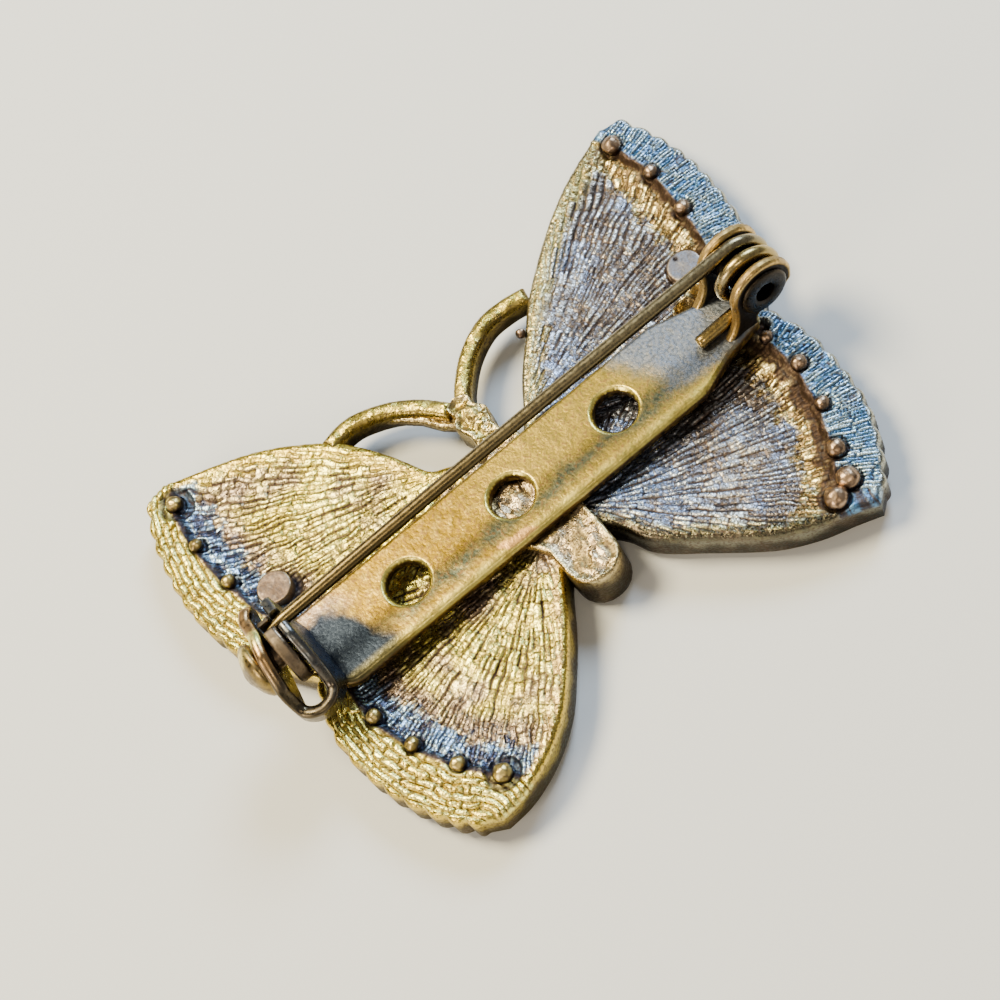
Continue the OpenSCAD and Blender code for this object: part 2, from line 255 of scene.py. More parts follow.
def paint(count, base, *layers):
    # colour of each point: base, then each layer's colour laid on by its mask
    tone = np.ones((count, 1)) * base
    for mask, colour in layers:
        cover = np.clip(mask, 0, 1) * np.ones(count)
        tone = tone + cover[:, None] * (np.array(colour) - tone)
    return tone


def castSlab(loops, step, top, under, underStep=0.6, wallRows=5, shade=0.3, hidden=None):
    # a slab inside the first loop, the other loops being its holes; top and under take x, y and the distance
    # from the edge; shade darkens the sides and the underside as a painted shade, keeping that share of the
    # top's colour
    loops = [loop if (area(loop) > 0) == (k == 0) else loop[::-1] for k, loop in enumerate(loops)]
    rings = [evenly(loop, step) for loop in loops]
    upper, upperFaces, upperRim = triangulate(loops, rings, step, hidden)
    lower, lowerFaces, lowerRim = triangulate(loops, rings, underStep)

    def depth(p):
        return np.min([nearest(loop, *p.T, closed=True)[0] for loop in loops], axis=0)

    z, marks = top(*upper.T, depth(upper))
    zUnder = under(*lower.T, depth(lower))
    border = np.vstack(rings)
    zTop, zLow = z[upperRim], zUnder[lowerRim]
    points, rows, count = [np.column_stack([upper, z])], [upperRim], len(upper)
    for k in range(1, wallRows):
        points.append(np.column_stack([border, zTop + (zLow - zTop) * k / wallRows]))
        rows.append(np.arange(len(border)) + count)
        count += len(border)
    rows.append(lowerRim + count)
    points = np.vstack(points + [np.column_stack([lower, zUnder])])
    faces, start = upperFaces.tolist() + (lowerFaces[:, ::-1] + count).tolist(), 0
    for ring in rings:
        wall = joinRows([row[start: start + len(ring)] for row in rows])
        faces += [face[:1] + face[:0:-1] for face in wall]
        start += len(ring)

    tone = np.ones((len(points), 1)) * marks["tone"][upperRim].mean(axis=0) * shade
    tone[: len(upper)] = marks["tone"]
    wander = 0.28 * noise(*border.T, 7, 1.3)
    for k in range(1, wallRows):  # the painted shade is lighter under the upper edge, down to an uneven line
        tone[rows[k]] *= 1 + (0.5 / shade - 0.5) * smoothStep(0.6, 0.15, k / wallRows + wander)[:, None]
    full = {"tone": tone}
    for key, below in (("cavity", 0.6), ("clean", 0.0)):
        if key in marks:
            full[key] = np.full(len(points), below)
            full[key][: len(upper)] = marks[key]
    return points, faces, full


def flatUnder(low, edge=0.15):
    def under(x, y, d):
        return low + roundOff(d, edge)
    return under


def lathe(profile, sides, place):
    # profile rows: distance along the axis, radius; place puts (along, u, v) in the frame
    turn = 2 * np.pi * np.arange(sides) / sides
    points, rows = [], []
    for along, r in profile:
        count = sides if r > 0 else 1
        rows.append([len(points) + i % count for i in range(sides)])
        points += [(along, r * math.cos(t), r * math.sin(t)) for t in turn[:count]]
    return np.array([place(*q) for q in points]), joinRows(rows)


def sweep(path, across, sides):
    # round rings along a path, whose rows give centre, outward direction and radius
    turn = 2 * np.pi * np.arange(sides) / sides
    points = [centre + r * (math.cos(t) * out + math.sin(t) * across)
              for centre, out, r in path for t in turn]
    rows = np.arange(len(points)).reshape(-1, sides).tolist()
    return np.array(points), joinRows(rows) + [rows[0][::-1], rows[-1]]


# Materials

def startMaterial(name):
    material = bpy.data.materials.new(name)
    material.use_nodes = True
    return material, material.node_tree


def fill(tree, node, inputs):
    # an input that is given a socket is linked to it, any other is set
    for key, value in inputs.items():
        if isinstance(value, bpy.types.NodeSocket):
            tree.links.new(value, node.inputs[key])
        else:
            node.inputs[key].default_value = value


def addNode(tree, kind, inputs, output=0, **settings):
    node = tree.nodes.new(kind)
    for key, value in settings.items():
        setattr(node, key, value)
    fill(tree, node, inputs)
    return node.outputs[output]


def noiseOf(tree, size, detail):
    # size is the width of one patch in millimetres
    place = addNode(tree, "ShaderNodeTexCoord", {}, "Object")
    inputs = {"Vector": place, "Scale": 1 / (size * mm), "Detail": detail}
    return addNode(tree, "ShaderNodeTexNoise", inputs, "Fac")


def attribute(tree, name, output="Fac"):
    return addNode(tree, "ShaderNodeAttribute", {}, output, attribute_name=name)


def ramp(tree, source, low, high, bottom=0.0, top=1.0):
    inputs = {"Value": source, "From Min": low, "From Max": high, "To Min": bottom, "To Max": top}
    return addNode(tree, "ShaderNodeMapRange", inputs, "Result", interpolation_type="SMOOTHSTEP")


def calculate(tree, operation, a, b):
    return addNode(tree, "ShaderNodeMath", {0: a, 1: b}, "Value", operation=operation, use_clamp=True)


def blendColours(tree, factor, a, b):
    a, b = [(*colour, 1) if isinstance(colour, tuple) else colour for colour in (a, b)]
    return addNode(tree, "ShaderNodeMix", {"Factor": factor, 6: a, 7: b}, 2, data_type="RGBA")


def bumps(tree, layers):
    # layers: height source, depth in millimetres, strength
    below = {}
    for source, depth, strength in layers:
        inputs = {"Height": source, "Distance": depth * mm, "Strength": strength, **below}
        below = {"Normal": addNode(tree, "ShaderNodeBump", inputs, "Normal")}
    return below["Normal"]


brassFinish = {
    # width of the grain and of the cloudy patches in millimetres, their colours and how strong they are,
    # bump depths in millimetres, range of the roughness
    "cast": {"grain": 0.13, "patch": 1.3, "grainColour": (0.07, 0.045, 0.035), "grainAmount": 0.75,
             "patchColour": (0.20, 0.14, 0.10), "patchAmount": 0.25, "grainDepth": 0.04, "patchDepth": 0.0,
             "rough": (0.2, 0.38)},
    "bar": {"grain": 0.17, "patch": 0.5, "grainColour": (0.20, 0.11, 0.04), "grainAmount": 0.8,
            "patchColour": (0.46, 0.32, 0.07), "patchAmount": 0.6, "grainDepth": 0.018, "patchDepth": 0.03,
            "rough": (0.30, 0.42)},
    "drawn": {"grain": 0.2, "patch": 1.1, "grainColour": (0.08, 0.05, 0.03), "grainAmount": 0.1,
              "patchColour": (0.16, 0.12, 0.07), "patchAmount": 0.2, "grainDepth": 0.0012,
              "patchDepth": 0.003, "rough": (0.24, 0.34)},
    "sheet": {"grain": 0.22, "patch": 0.9, "grainColour": (0.09, 0.07, 0.05), "grainAmount": 0.45,
              "patchColour": (0.15, 0.12, 0.10), "patchAmount": 0.5, "grainDepth": 0.006, "patchDepth": 0.02,
              "rough": (0.26, 0.42)},
    "disc": {"grain": 0.12, "patch": 0.6, "grainColour": (0.12, 0.10, 0.10), "grainAmount": 0.55,
             "patchColour": (0.26, 0.21, 0.18), "patchAmount": 0.3, "grainDepth": 0.012, "patchDepth": 0.02,
             "rough": (0.34, 0.5)},
}


def makeBrass(name):
    look = brassFinish[name]
    material, tree = startMaterial(name + " brass")
    grain, patch = noiseOf(tree, look["grain"], 3), noiseOf(tree, look["patch"], 5)
    colour = attribute(tree, "tone", "Color")
    mottled = calculate(tree, "SUBTRACT", 1, attribute(tree, "clean"))
    for source, layer, low, high in ((patch, "patch", 0.45, 0.7), (grain, "grain", 0.48, 0.68)):
        amount = ramp(tree, source, low, high, 0, look[layer + "Amount"])
        mask = calculate(tree, "MULTIPLY", amount, mottled)
        colour = blendColours(tree, mask, colour, look[layer + "Colour"])
    dull = calculate(tree, "MULTIPLY", attribute(tree, "cavity"), 0.35)  # hollows are duller
    rough = calculate(tree, "ADD", ramp(tree, grain, 0.35, 0.65, *look["rough"]), dull)
    layers = [(grain, look["grainDepth"], 0.8)]
    if look["patchDepth"]:
        layers.append((patch, look["patchDepth"], 0.5))
    fill(tree, tree.nodes["Principled BSDF"],
         {"Base Color": colour, "Metallic": 1, "Roughness": rough, "Normal": bumps(tree, layers)})
    return material


granuleFinish = {
    "left": (0.76, 0.58, 0.20), "right": (0.50, 0.34, 0.22),  # brass, and copper on the right wings
    "patch": (0.14, 0.09, 0.06), "patchWidth": 0.3,
    "foot": (0.05, 0.035, 0.03), "footHeights": (2.45, 2.75),  # painted shade round its foot
    "rough": 0.34,
}


def makeGranuleBrass():
    g = granuleFinish
    material, tree = startMaterial("granule brass")
    place = addNode(tree, "ShaderNodeTexCoord", {}, "Object")
    x, z = [addNode(tree, "ShaderNodeSeparateXYZ", {"Vector": place}, axis) for axis in "XZ"]
    patch = noiseOf(tree, g["patchWidth"], 3)
    colour = blendColours(tree, ramp(tree, x, -2 * mm, 2 * mm), g["left"], g["right"])
    colour = blendColours(tree, ramp(tree, patch, 0.45, 0.65, 0, 0.7), colour, g["patch"])
    foot, clear = g["footHeights"]
    colour = blendColours(tree, ramp(tree, z, foot * mm, clear * mm), g["foot"], colour)
    normal = bumps(tree, [(patch, 0.05, 0.6)])
    fill(tree, tree.nodes["Principled BSDF"],
         {"Base Color": colour, "Metallic": 1, "Roughness": g["rough"], "Normal": normal})
    return material


castBrass, barBrass, wireBrass, sheetBrass, discBrass = [
    makeBrass(name) for name in ("cast", "bar", "drawn", "sheet", "disc")]
granuleBrass = makeGranuleBrass()
print("materials made")

# Wings

wingShape = {
    "crest": 2.45,  # height of the rims and of the crest
    "lift": 0.35,  # height of the margin's lower edge
    "fall": 0.0437,  # slope of the fields
    "scallop": 0.22,  # depth of the scallops at the margin
    "edge": 0.3,  # rounding of the upper edge
    "underEdge": 0.25,
    "step": 0.0595,  # spacing of the mesh's points
    "comb": {"pitch": 0.19, "dash": 0.45, "gap": 0.55, "depth": 0.075, "wander": 0.005},  # on the slope
    "moatDepth": 0.14,
    "bossRadius": 0.93,
    "right": {
        "lead": [[0.3, 1], [1.5, 2.4], [2.8, 4.3], [4.25, 6], [6, 7.95], [8.9, 10.3], [11.6, 11.95],
                 [14.6, 13.1]],
        "fore": [[15.9, 13], [16.6, 10.8], [16.98, 8.5], [16.93, 6.1], [16.55, 3.6], [15.9, 1.2]],
        "hind": [[14.2, -1.4], [14.8, -3.9], [14.75, -6.4], [14.35, -8.8], [13.35, -11], [12.05, -12.85]],
        "tail": [[11.3, -13.2], [10, -12.7], [8.3, -12.1], [6.4, -11], [4, -8.85], [2.2, -7.1], [1.5, -5.6],
                 [0.3, -4]],
        # line where the slope beyond the fields meets the band with the granules
        "crestLine": [[13.5, 13.4], [14.45, 11.6], [14.85, 9], [14.65, 6.07], [14.3, 4], [13.35, 0.6],
                      [12.95, -2.6], [12.95, -5], [12.35, -7.5], [11.35, -9.75], [10.4, -11.3], [9.5, -12.2],
                      [8.9, -13.4]],
        "foreRoot": [0.9, 2.0], "hindRoot": [0.9, -3.4], "boss": [12.75, 3.5], "bossTop": 2.2,
        "ridges": {"pitch": 0.225, "dash": 0.9, "gap": 0.55, "depth": 0.065, "wander": 0.005},
        "scaleAlong": 0.2, "scaleAcross": 1.5, "scaleDepth": 0.1, "scaleEnds": 6,  # lumps on the band
        "wallWidth": (0.4, 0.85),  # forewing, hindwing
        "slopeWidth": 1.9, "slopeFlecks": -0.35, "darkTail": 0.8, "glints": 0,
        "darkRings": {},
        # colours: the blue of the band and of its flecks is a painted reflection of cool light, the gold
        # slope painted warm light, the wall and the tail edge painted shade; the field's grey and the
        # patches' blue are partly the casting's own tint and partly painted light
        "tones": {"field": (0.165, 0.138, 0.125), "patch": (0.17, 0.23, 0.36), "groove": (0.04, 0.028, 0.025),
                  "fleck": (0.62, 0.60, 0.56), "patchFleck": (0.42, 0.54, 0.78),
                  "slope": (0.20, 0.135, 0.05), "slopeFleck": (1.0, 0.84, 0.38),
                  "wall": (0.07, 0.042, 0.028), "band": (0.10, 0.25, 0.46), "bandFleck": (0.78, 0.96, 1.0),
                  "rim": (0.46, 0.36, 0.11), "rimFleck": (1.0, 0.84, 0.28), "tail": (0.045, 0.038, 0.02),
                  "lip": (0.46, 0.44, 0.32)},
    },
    "left": {
        "lead": [[0.3, 1], [2, 2.75], [3.5, 3.6], [4.1, 4.8], [4.85, 6.4], [6.5, 8.8], [9.8, 11.3],
                 [14.4, 13.2]],
        "fore": [[15.7, 13.1], [16.6, 11], [17.12, 8.6], [17.3, 6.3], [17, 3.9], [16.2, 1.2]],
        "hind": [[14.5, -1.4], [15.42, -4], [15.4, -6.7], [14.8, -9.2], [13.75, -11.4], [12.6, -12.85]],
        "tail": [[11.6, -13.2], [10, -13.05], [8.1, -12.35], [6.2, -11.1], [4.6, -9.35], [3.2, -7.5],
                 [1.9, -5.5], [0.3, -4]],
        "crestLine": [[13.6, 13.4], [14.75, 11.7], [15.15, 8.95], [15, 6.07], [14.6, 4], [13.8, 0.6],
                      [13.45, -2.6], [13.5, -5], [12.8, -7.5], [11.75, -9.75], [10.6, -11.35], [9.7, -12.3],
                      [9.1, -13.4]],
        "foreRoot": [1.9, 2.6], "hindRoot": [2.0, -3.6], "boss": [13.17, 4.2], "bossTop": 2.35,
        "ridges": {"pitch": 0.225, "dash": 0.72, "gap": 0.64, "depth": 0.065, "wander": 0.011},
        "scaleAlong": 1.15, "scaleAcross": 0.36, "scaleDepth": 0.12, "scaleEnds": 12,
        "wallWidth": (0.12, 0.12),
        "slopeWidth": 1.85, "slopeFlecks": -0.75, "darkTail": 0, "glints": 0.8,
        "darkRings": {0: 0.28, 6: 0.2},  # painted shade in a ring round the first and the last granule
        # colours: the navy slope and its pale blue flecks are a painted reflection of cool light, the wall
        # painted shade; the gold of the field and the band is partly the brass's own colour and partly
        # painted warm light
        "tones": {"field": (0.56, 0.45, 0.075), "patch": (0.19, 0.135, 0.14), "groove": (0.035, 0.02, 0.014),
                  "fleck": (1.0, 0.93, 0.24), "patchFleck": (0.70, 0.54, 0.30),
                  "slope": (0.045, 0.06, 0.11), "slopeFleck": (0.50, 0.72, 0.95),
                  "wall": (0.02, 0.02, 0.035), "band": (0.70, 0.54, 0.10), "bandFleck": (1.0, 0.95, 0.30),
                  "rim": (0.56, 0.41, 0.055), "rimFleck": (1.0, 0.86, 0.20), "tail": (0.44, 0.30, 0.10),
                  "lip": (0.72, 0.52, 0.07)},
    },
    # inside this line the underside lies flat on the ground
    "field": [[1.6, 1.6], [3.6, 4.3], [5.6, 6.6], [8.6, 9.3], [11.2, 11.05], [13.6, 12.1], [14.3, 10.9],
              [14.2, 7.6], [13.9, 4], [12.9, 0.6], [12.3, -2.6], [12.1, -5.4], [11.4, -8.2], [10.4, -10.9],
              [9, -11.3], [7, -10.3], [5, -8.6], [3.2, -6.4], [1.6, -4]],
    # granules: x, y, share of the radius
    "granules": {
        "right": [[14.5, 11.73, 1.2], [14.92, 8.95, 0.9], [14.75, 6.07, 1], [13.25, -4.98, 1],
                  [12.65, -7.45, 0.9], [11.6, -9.75, 1.15], [11.0, -11.35, 1.4], [9.95, -11.75, 1.4]],
        "left": [[14.5, 11.73, 1], [14.92, 8.95, 0.85], [14.75, 6.07, 0.9], [13.25, -4.98, 0.95],
                 [12.65, -7.45, 0.9], [11.55, -9.75, 0.95], [10.2, -11.6, 1.15]]},
    "lowGranule": [13.05, -2.75, 0.12, 0.85],  # x, y, how far it is sunk, share of the radius
    "lowRing": [13.2, -2.17],
    "burr": (4.54, 6.4, 2.4, 0.27),  # bead of metal on the forewing's edge: x, y, z, radius
    "granuleRadius": 0.45,
}


def scalloped(table, depth):
    c = curveThrough(table, 16)
    pinch = depth * (1 - np.abs(np.sin(np.pi * np.arange(len(c)) / 8)))
    return c - pinch[:, None] * sideways(c)


def scales(across, run, length, width, ends, seed):
    # rows of long lumps: height from 0 in the gaps to 1 on a lump's back, and each lump's random lot
    rows = run / width + 0.3 * noise(across, run, seed, 0.9) + 0.2 * noise(across, run, seed + 2, 2.1)
    row = whole(rows)
    columns = across / length + 3.7 * lattice(row, 0, seed + 3) + 0.5 * noise(across, run, seed + 5, 1.3)
    column = whole(columns)
    u, v = columns - column, rows - row
    return (1 - np.abs(2 * v - 1) ** 3) * (1 - np.abs(2 * u - 1) ** ends), lattice(column, row, seed + 9)


def feather(angle, radius, shape, seed):
    # fine ridges that fan out, new ones starting between the old so that they stay equally fine;
    # each is broken into dashes, and each dash has a random lot
    level = np.log2(np.maximum(radius, 0.7) / 0.7)
    share = smoothStep(0.25, 0.75, level - np.floor(level))
    height = lot = 0
    for k, weight in ((0, 1 - share), (1, share)):
        lines = angle * 0.7 * 2 ** (np.floor(level) + k) * 0.75 / shape["pitch"]
        lines = lines + 0.22 * noise(angle * 9, radius * 0.9, seed)
        line = whole(lines)
        rows = radius / shape["dash"] + 9.7 * lattice(line, 0, seed + 1)
        row = whole(rows)
        ends = 1 - shape["gap"] * np.abs(2 * (rows - row) - 1) ** 6
        groove = whole(lines + 0.5)
        stretch = whole(radius / 1.1 + 5.3 * lattice(groove, 0, seed + 6))
        deep = np.clip(0.72 + 0.5 * lattice(groove, stretch, seed + 7), 0.2, 1)
        height = height + weight * (1 - deep * np.abs(2 * (lines - line) - 1) ** 2.2) * ends
        lot = lot + weight * lattice(line, row, seed + 2)
    return height, lot


def hollows(x, y, side):
    # depth of the hollows round the granules and the boss, from 0 to 1; it also sets the painted shade in
    # them
    w, s = wingShape, wingShape[side]
    moat = 0 * x
    for k, (gx, gy, share) in enumerate(w["granules"][side]):
        gap = np.hypot(x - gx, y - gy) - w["granuleRadius"] * share
        moat = np.maximum(moat, bell(gap + 0.02, 0.13))
        if k in s["darkRings"]:
            moat = np.maximum(moat, bell(gap - s["darkRings"][k], 0.18, 4))
    bx, by = s["boss"]
    gap = np.hypot(x - bx, y - by) - w["bossRadius"]
    moat = np.maximum(moat, 0.7 * bell(gap - 0.03, 0.09))
    if side == "left":  # a hollow beside the boss, towards the bar, painted dark as the boss's shadow
        towards = (0.67 * (bx - x) + 0.74 * (by - y)) / (gap + w["bossRadius"])
        moat = np.maximum(moat, bell(gap - 0.12, 0.3, 4) * smoothStep(0.35, 0.8, towards))
    return moat


def wingTop(side, seed):
    w, s = wingShape, wingShape[side]
    tones, ridges, comb = s["tones"], s["ridges"], w["comb"]
    margin = np.vstack([curveThrough(s[key], 8) for key in ("fore", "hind")])
    lead, tail, crest = [curveThrough(s[key], 6) for key in ("lead", "tail", "crestLine")]
    inner = np.vstack([crest, [[0, -14], [0, 14]]])

    def top(x, y, d):
        def wave(scale, k):
            return noise(x, y, seed + k, scale)

        def rough(scale, k):
            return roughness(x, y, seed + k, scale)

        toMargin, run = nearest(margin, x, y)
        toLead, toTail = nearest(lead, x, y)[0], nearest(tail, x, y)[0]
        toRim = np.minimum(toLead, toTail)
        inward = nearest(crest, x, y)[0] * np.where(isInside(inner, x, y), 1, -1)
        ragged = inward + 0.12 * wave(1.9, 0) + 0.06 * wave(5, 1)
        outside = smoothStep(0.0, -0.2, inward)
        nearRim = smoothStep(0.75, 0.35, toRim)

        # broad form: fields that dish down, slope and wall up to the crest, band that falls to the margin
        low = w["crest"] - w["fall"] * x + 0.04 * rough(0.5, 2)
        step = 0.45 * smoothStep(1.55, 0.45, ragged) + 0.55 * smoothStep(0.38, 0.02, ragged)
        rise = np.maximum(step, 0.85 * smoothStep(2.4, 0.2, toRim))
        z = low + (w["crest"] - low) * rise - 0.09 * np.maximum(0, -inward - 0.25)

        # ridges that fan out from the wing's root, a finer comb on the slope, lumps on the band
        fore = y > -0.2 - 0.03 * x
        rootX, rootY = [np.where(fore, s["foreRoot"][k], s["hindRoot"][k]) for k in (0, 1)]
        radius = np.hypot(x - rootX, y - rootY)
        angle = np.arctan2(y - rootY, x - rootX) + 0.008 * wave(0.5, 3) + ridges["wander"] * wave(1.5, 34)
        ridge, ridgeLot = feather(angle, radius, ridges, seed + 4)
        hair, hairLot = feather(angle + comb["wander"] * wave(2, 19), radius, comb, seed + 20)
        lump = [toMargin, run, s["scaleAcross"], s["scaleAlong"]]  # strokes straight across the band
        if side == "left":  # or rows of lumps along it
            lump = [run, toMargin, s["scaleAlong"], s["scaleAcross"]]
        scale, scaleLot = scales(*lump, s["scaleEnds"], seed + 12)

        # how much each place belongs to the slope, the wall, the field and the band
        passage = ragged + 0.45 * wave(2.3, 31) + 0.35 * hairLot
        slope = smoothStep(s["slopeWidth"], s["slopeWidth"] - 0.5, passage) * (1 - nearRim)
        slope = slope * smoothStep(0.05, 0.2, ragged)
        width = np.where(fore, *s["wallWidth"]) * (1 + 0.35 * wave(1.7, 32))
        wall = smoothStep(width + 0.15, width - 0.1, ragged) * smoothStep(-0.2, 0.0, ragged) * (1 - nearRim)
        field = (1 - slope) * smoothStep(0.3, 0.5, ragged) * (1 - 0.6 * nearRim)
        band = outside * smoothStep(0.16, 0.34, toMargin)
        grainy, wear = rough(5.5, 7), wave(1.1, 6)
        z = z + field * ridges["depth"] * (ridge - 1 + 0.4 * ridgeLot)
        z = z + slope * comb["depth"] * (hair - 1 + 0.5 * hairLot)
        z = z + band * s["scaleDepth"] * (scale - 1 + 0.3 * scaleLot) + 0.022 * grainy + 0.035 * rough(1.4, 8)

        # hollows round the granules and the boss, the ring beside the hinge, the rounded upper edge
        moat = hollows(x, y, side)
        gap = np.hypot(x - w["lowRing"][0], y - w["lowRing"][1])
        ring, hole = bell(gap - 0.5, 0.12), bell(gap, 0.37, 4)
        z = z - w["moatDepth"] * moat + 0.2 * ring - 0.35 * hole - roundOff(d, w["edge"])

        # colours: bright flecks on the ridges' backs, partly worn metal and partly painted glints, and dark
        # grooves
        patches = smoothStep(-0.1, 0.5, rough(0.55, 30))
        if side == "right":
            nearRoot = smoothStep(7.5, 3.0, radius) * smoothStep(-0.6, 0.2, wear + 0.3)
            patches = np.maximum(patches * 0.6, nearRoot)
        else:
            patches = np.maximum(patches, smoothStep(3.4, 2.0, ragged + 0.5 * wear))
        glints = s["glints"] * wave(0.7, 33)
        back = smoothStep(0.55, 0.95, ridge) * smoothStep(-0.35, 0.75, ridgeLot + 0.5 * wear + glints)
        hairBack = smoothStep(0.5, 0.95, hair) * smoothStep(0, 0.7, hairLot + 0.4 * wear - s["slopeFlecks"])
        scaleBack = smoothStep(0.45, 0.95, scale) * smoothStep(-0.9, 0.5, scaleLot + 0.4 * grainy)
        layers = [
            (0.85 * patches, "patch"), (smoothStep(0.8, 0.3, ridge), "groove"),
            (0.85 * back * (1 - 0.8 * patches), "fleck"), (0.7 * back * patches, "patchFleck"),
            (0.75 * smoothStep(1.4, 0.5, toLead + 0.4 * ridgeLot), "rim"),
            (0.85 * smoothStep(1.0, 0.3, toTail + 0.3 * ridgeLot), "tail"),
            (0.6 * smoothStep(1.4, 0.5, toRim) * back, "rimFleck"),
            (slope, "slope"), (slope * 0.85 * smoothStep(0.5, 0.1, hair), "wall"),
            (slope * 0.9 * hairBack, "slopeFleck"), (0.95 * wall, "wall"),
            (outside, "band"), (band * 0.9 * smoothStep(0.4, 0.1, scale), "groove"),
            (band * 0.85 * scaleBack, "bandFleck"),
            # painted highlight on the lip along the margin and the rounded edges; painted shade along the
            # tail edge
            (0.85 * smoothStep(0.34, 0.16, toMargin) * outside, "lip"),
            (0.7 * smoothStep(0.32, 0.12, np.minimum(toRim, d)) * (1 - outside), "lip"),
            (s["darkTail"] * smoothStep(0.9, 0.3, toTail) * (1 - outside), "tail"),
            # painted highlight on the ring beside the hinge, painted shade in the hollows and in the ring's
            # hole
            (0.6 * ring, "lip"), (0.95 * np.maximum(0.9 * moat, hole), "wall")]
        tone = paint(len(x), tones["field"], *[(mask, tones[key]) for mask, key in layers])
        grooves = field * (1 - ridge) + slope * (1 - hair) + band * (1 - scale)
        return z, {"tone": tone, "cavity": np.clip(0.7 * grooves + 0.8 * wall + 0.7 * moat, 0, 1)}

    return top


def wingUnder(x, y, d):
    fieldLine = curveThrough(wingShape["field"] + [wingShape["field"][0]], 6)[:-1]
    inField = nearest(fieldLine, x, y, closed=True)[0]
    inField = np.where(isInside(fieldLine, x, y), inField, -inField)
    return wingShape["lift"] * smoothStep(0.05, -0.9, inField) + roundOff(d, wingShape["underEdge"])


def makeWings(side, sign, seed):
    s = wingShape[side]

    def underBar(x, y):  # what the bar hides from above, without what shows through its holes
        seen = np.zeros(x.shape, bool)
        for holeX in barPlace["holes"]:
            seen |= np.hypot(x - (holeX - castingMiddle) * sign, y - barPlace["middle"] - 0.3) < 1.3
        return (np.abs(y - barPlace["middle"] - 0.25) < 2) & (x < 12.4) & ~seen

    line = np.vstack([curveThrough(s["lead"], 6), scalloped(s["fore"], wingShape["scallop"]),
                      scalloped(s["hind"], wingShape["scallop"]), curveThrough(s["tail"], 6)])
    top = wingTop(side, seed)
    points, faces, marks = castSlab([line], wingShape["step"], top, wingUnder, shade=0.07, hidden=underBar)
    points[:, 0] = castingMiddle + sign * points[:, 0]
    if sign < 0:  # mirrored, so the faces turn round
        faces = [face[::-1] for face in faces]
    addPiece("wings_" + side, (points, faces, marks), castBrass)


makeWings("right", sign=1, seed=20)
makeWings("left", sign=-1, seed=60)
print("wings made")

# Granules: lumps on points, each sized by its own share

granuleTree = {"detail": 4, "lumps": 0.17, "lumpWidth": 0.45, "sink": 0.1, "seed": 7}


def granuleTable():
    # x, y, z and radius of each
    w = wingShape
    table = []
    for side, sign in (("right", 1), ("left", -1)):
        rows = [(x, y, granuleTree["sink"], share) for x, y, share in w["granules"][side]]
        for x, y, sink, share in rows + [w["lowGranule"]]:
            table.append((castingMiddle + sign * x, y, w["crest"] - sink, w["granuleRadius"] * share))
    return np.array(table + [w["burr"]])


def makeGranules():
    table = granuleTable()
    mesh = bpy.data.meshes.new("granules")
    mesh.from_pydata((table[:, :3] * mm).tolist(), [], [])
    sizes = (table[:, 3] * mm).astype(np.float32)
    mesh.attributes.new("size", "FLOAT", "POINT").data.foreach_set("value", sizes)
    piece = bpy.data.objects.new("granules", mesh)
    bpy.context.scene.collection.objects.link(piece)

    tree = bpy.data.node_groups.new("granules on points", "GeometryNodeTree")
    for way in ("INPUT", "OUTPUT"):
        tree.interface.new_socket("Geometry", in_out=way, socket_type="NodeSocketGeometry")
    named = {name: tree.interface.new_socket(name, in_out="INPUT", socket_type="NodeSocket" + kind).identifier
             for name, kind in (("Detail", "Int"), ("Lumps", "Float"), ("Seed", "Float"))}
    start = tree.nodes.new("NodeGroupInput").outputs
    ball = addNode(tree, "GeometryNodeMeshIcoSphere", {"Radius": 1, "Subdivisions": start["Detail"]})
    size = addNode(tree, "GeometryNodeInputNamedAttribute", {"Name": "size"}, "Attribute", data_type="FLOAT")
    lumps = addNode(tree, "GeometryNodeInstanceOnPoints",
                    {"Points": start["Geometry"], "Instance": ball, "Scale": size})
    real = addNode(tree, "GeometryNodeRealizeInstances", {"Geometry": lumps})
    inputs = {"Scale": 1 / (granuleTree["lumpWidth"] * mm), "W": start["Seed"]}
    wobble = addNode(tree, "ShaderNodeTexNoise", inputs, "Color", noise_dimensions="4D")
    centred = addNode(tree, "ShaderNodeVectorMath", {0: wobble, 1: (0.5, 0.5, 0.5)}, operation="SUBTRACT")
    offset = addNode(tree, "ShaderNodeVectorMath", {0: centred, "Scale": start["Lumps"]}, operation="SCALE")
    moved = addNode(tree, "GeometryNodeSetPosition", {"Geometry": real, "Offset": offset})
    smooth = addNode(tree, "GeometryNodeSetShadeSmooth", {"Geometry": moved})
    dressed = addNode(tree, "GeometryNodeSetMaterial", {"Geometry": smooth, "Material": granuleBrass})
    fill(tree, tree.nodes.new("NodeGroupOutput"), {"Geometry": dressed})

    modifier = piece.modifiers.new("granules", "NODES")
    modifier.node_group = tree
    modifier[named["Detail"]] = granuleTree["detail"]
    modifier[named["Lumps"]] = granuleTree["lumps"] * mm
    modifier[named["Seed"]] = float(granuleTree["seed"])
    plain = bpy.data.meshes.new_from_object(piece.evaluated_get(bpy.context.evaluated_depsgraph_get()))
    piece.modifiers.clear()
    piece.data = plain
    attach(piece, "brooch")
    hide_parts("brooch_body")


makeGranules()

# Bosses: flat discs with a soft edge

bossShape = {
    "base": 1.2, "dish": 0.02,
    "tones": {"right": (0.21, 0.21, 0.235), "left": (0.098, 0.068, 0.053), "rim": (0.50, 0.36, 0.22),
              "wall": (0.05, 0.035, 0.03), "pit": (0.02, 0.015, 0.015)},
}


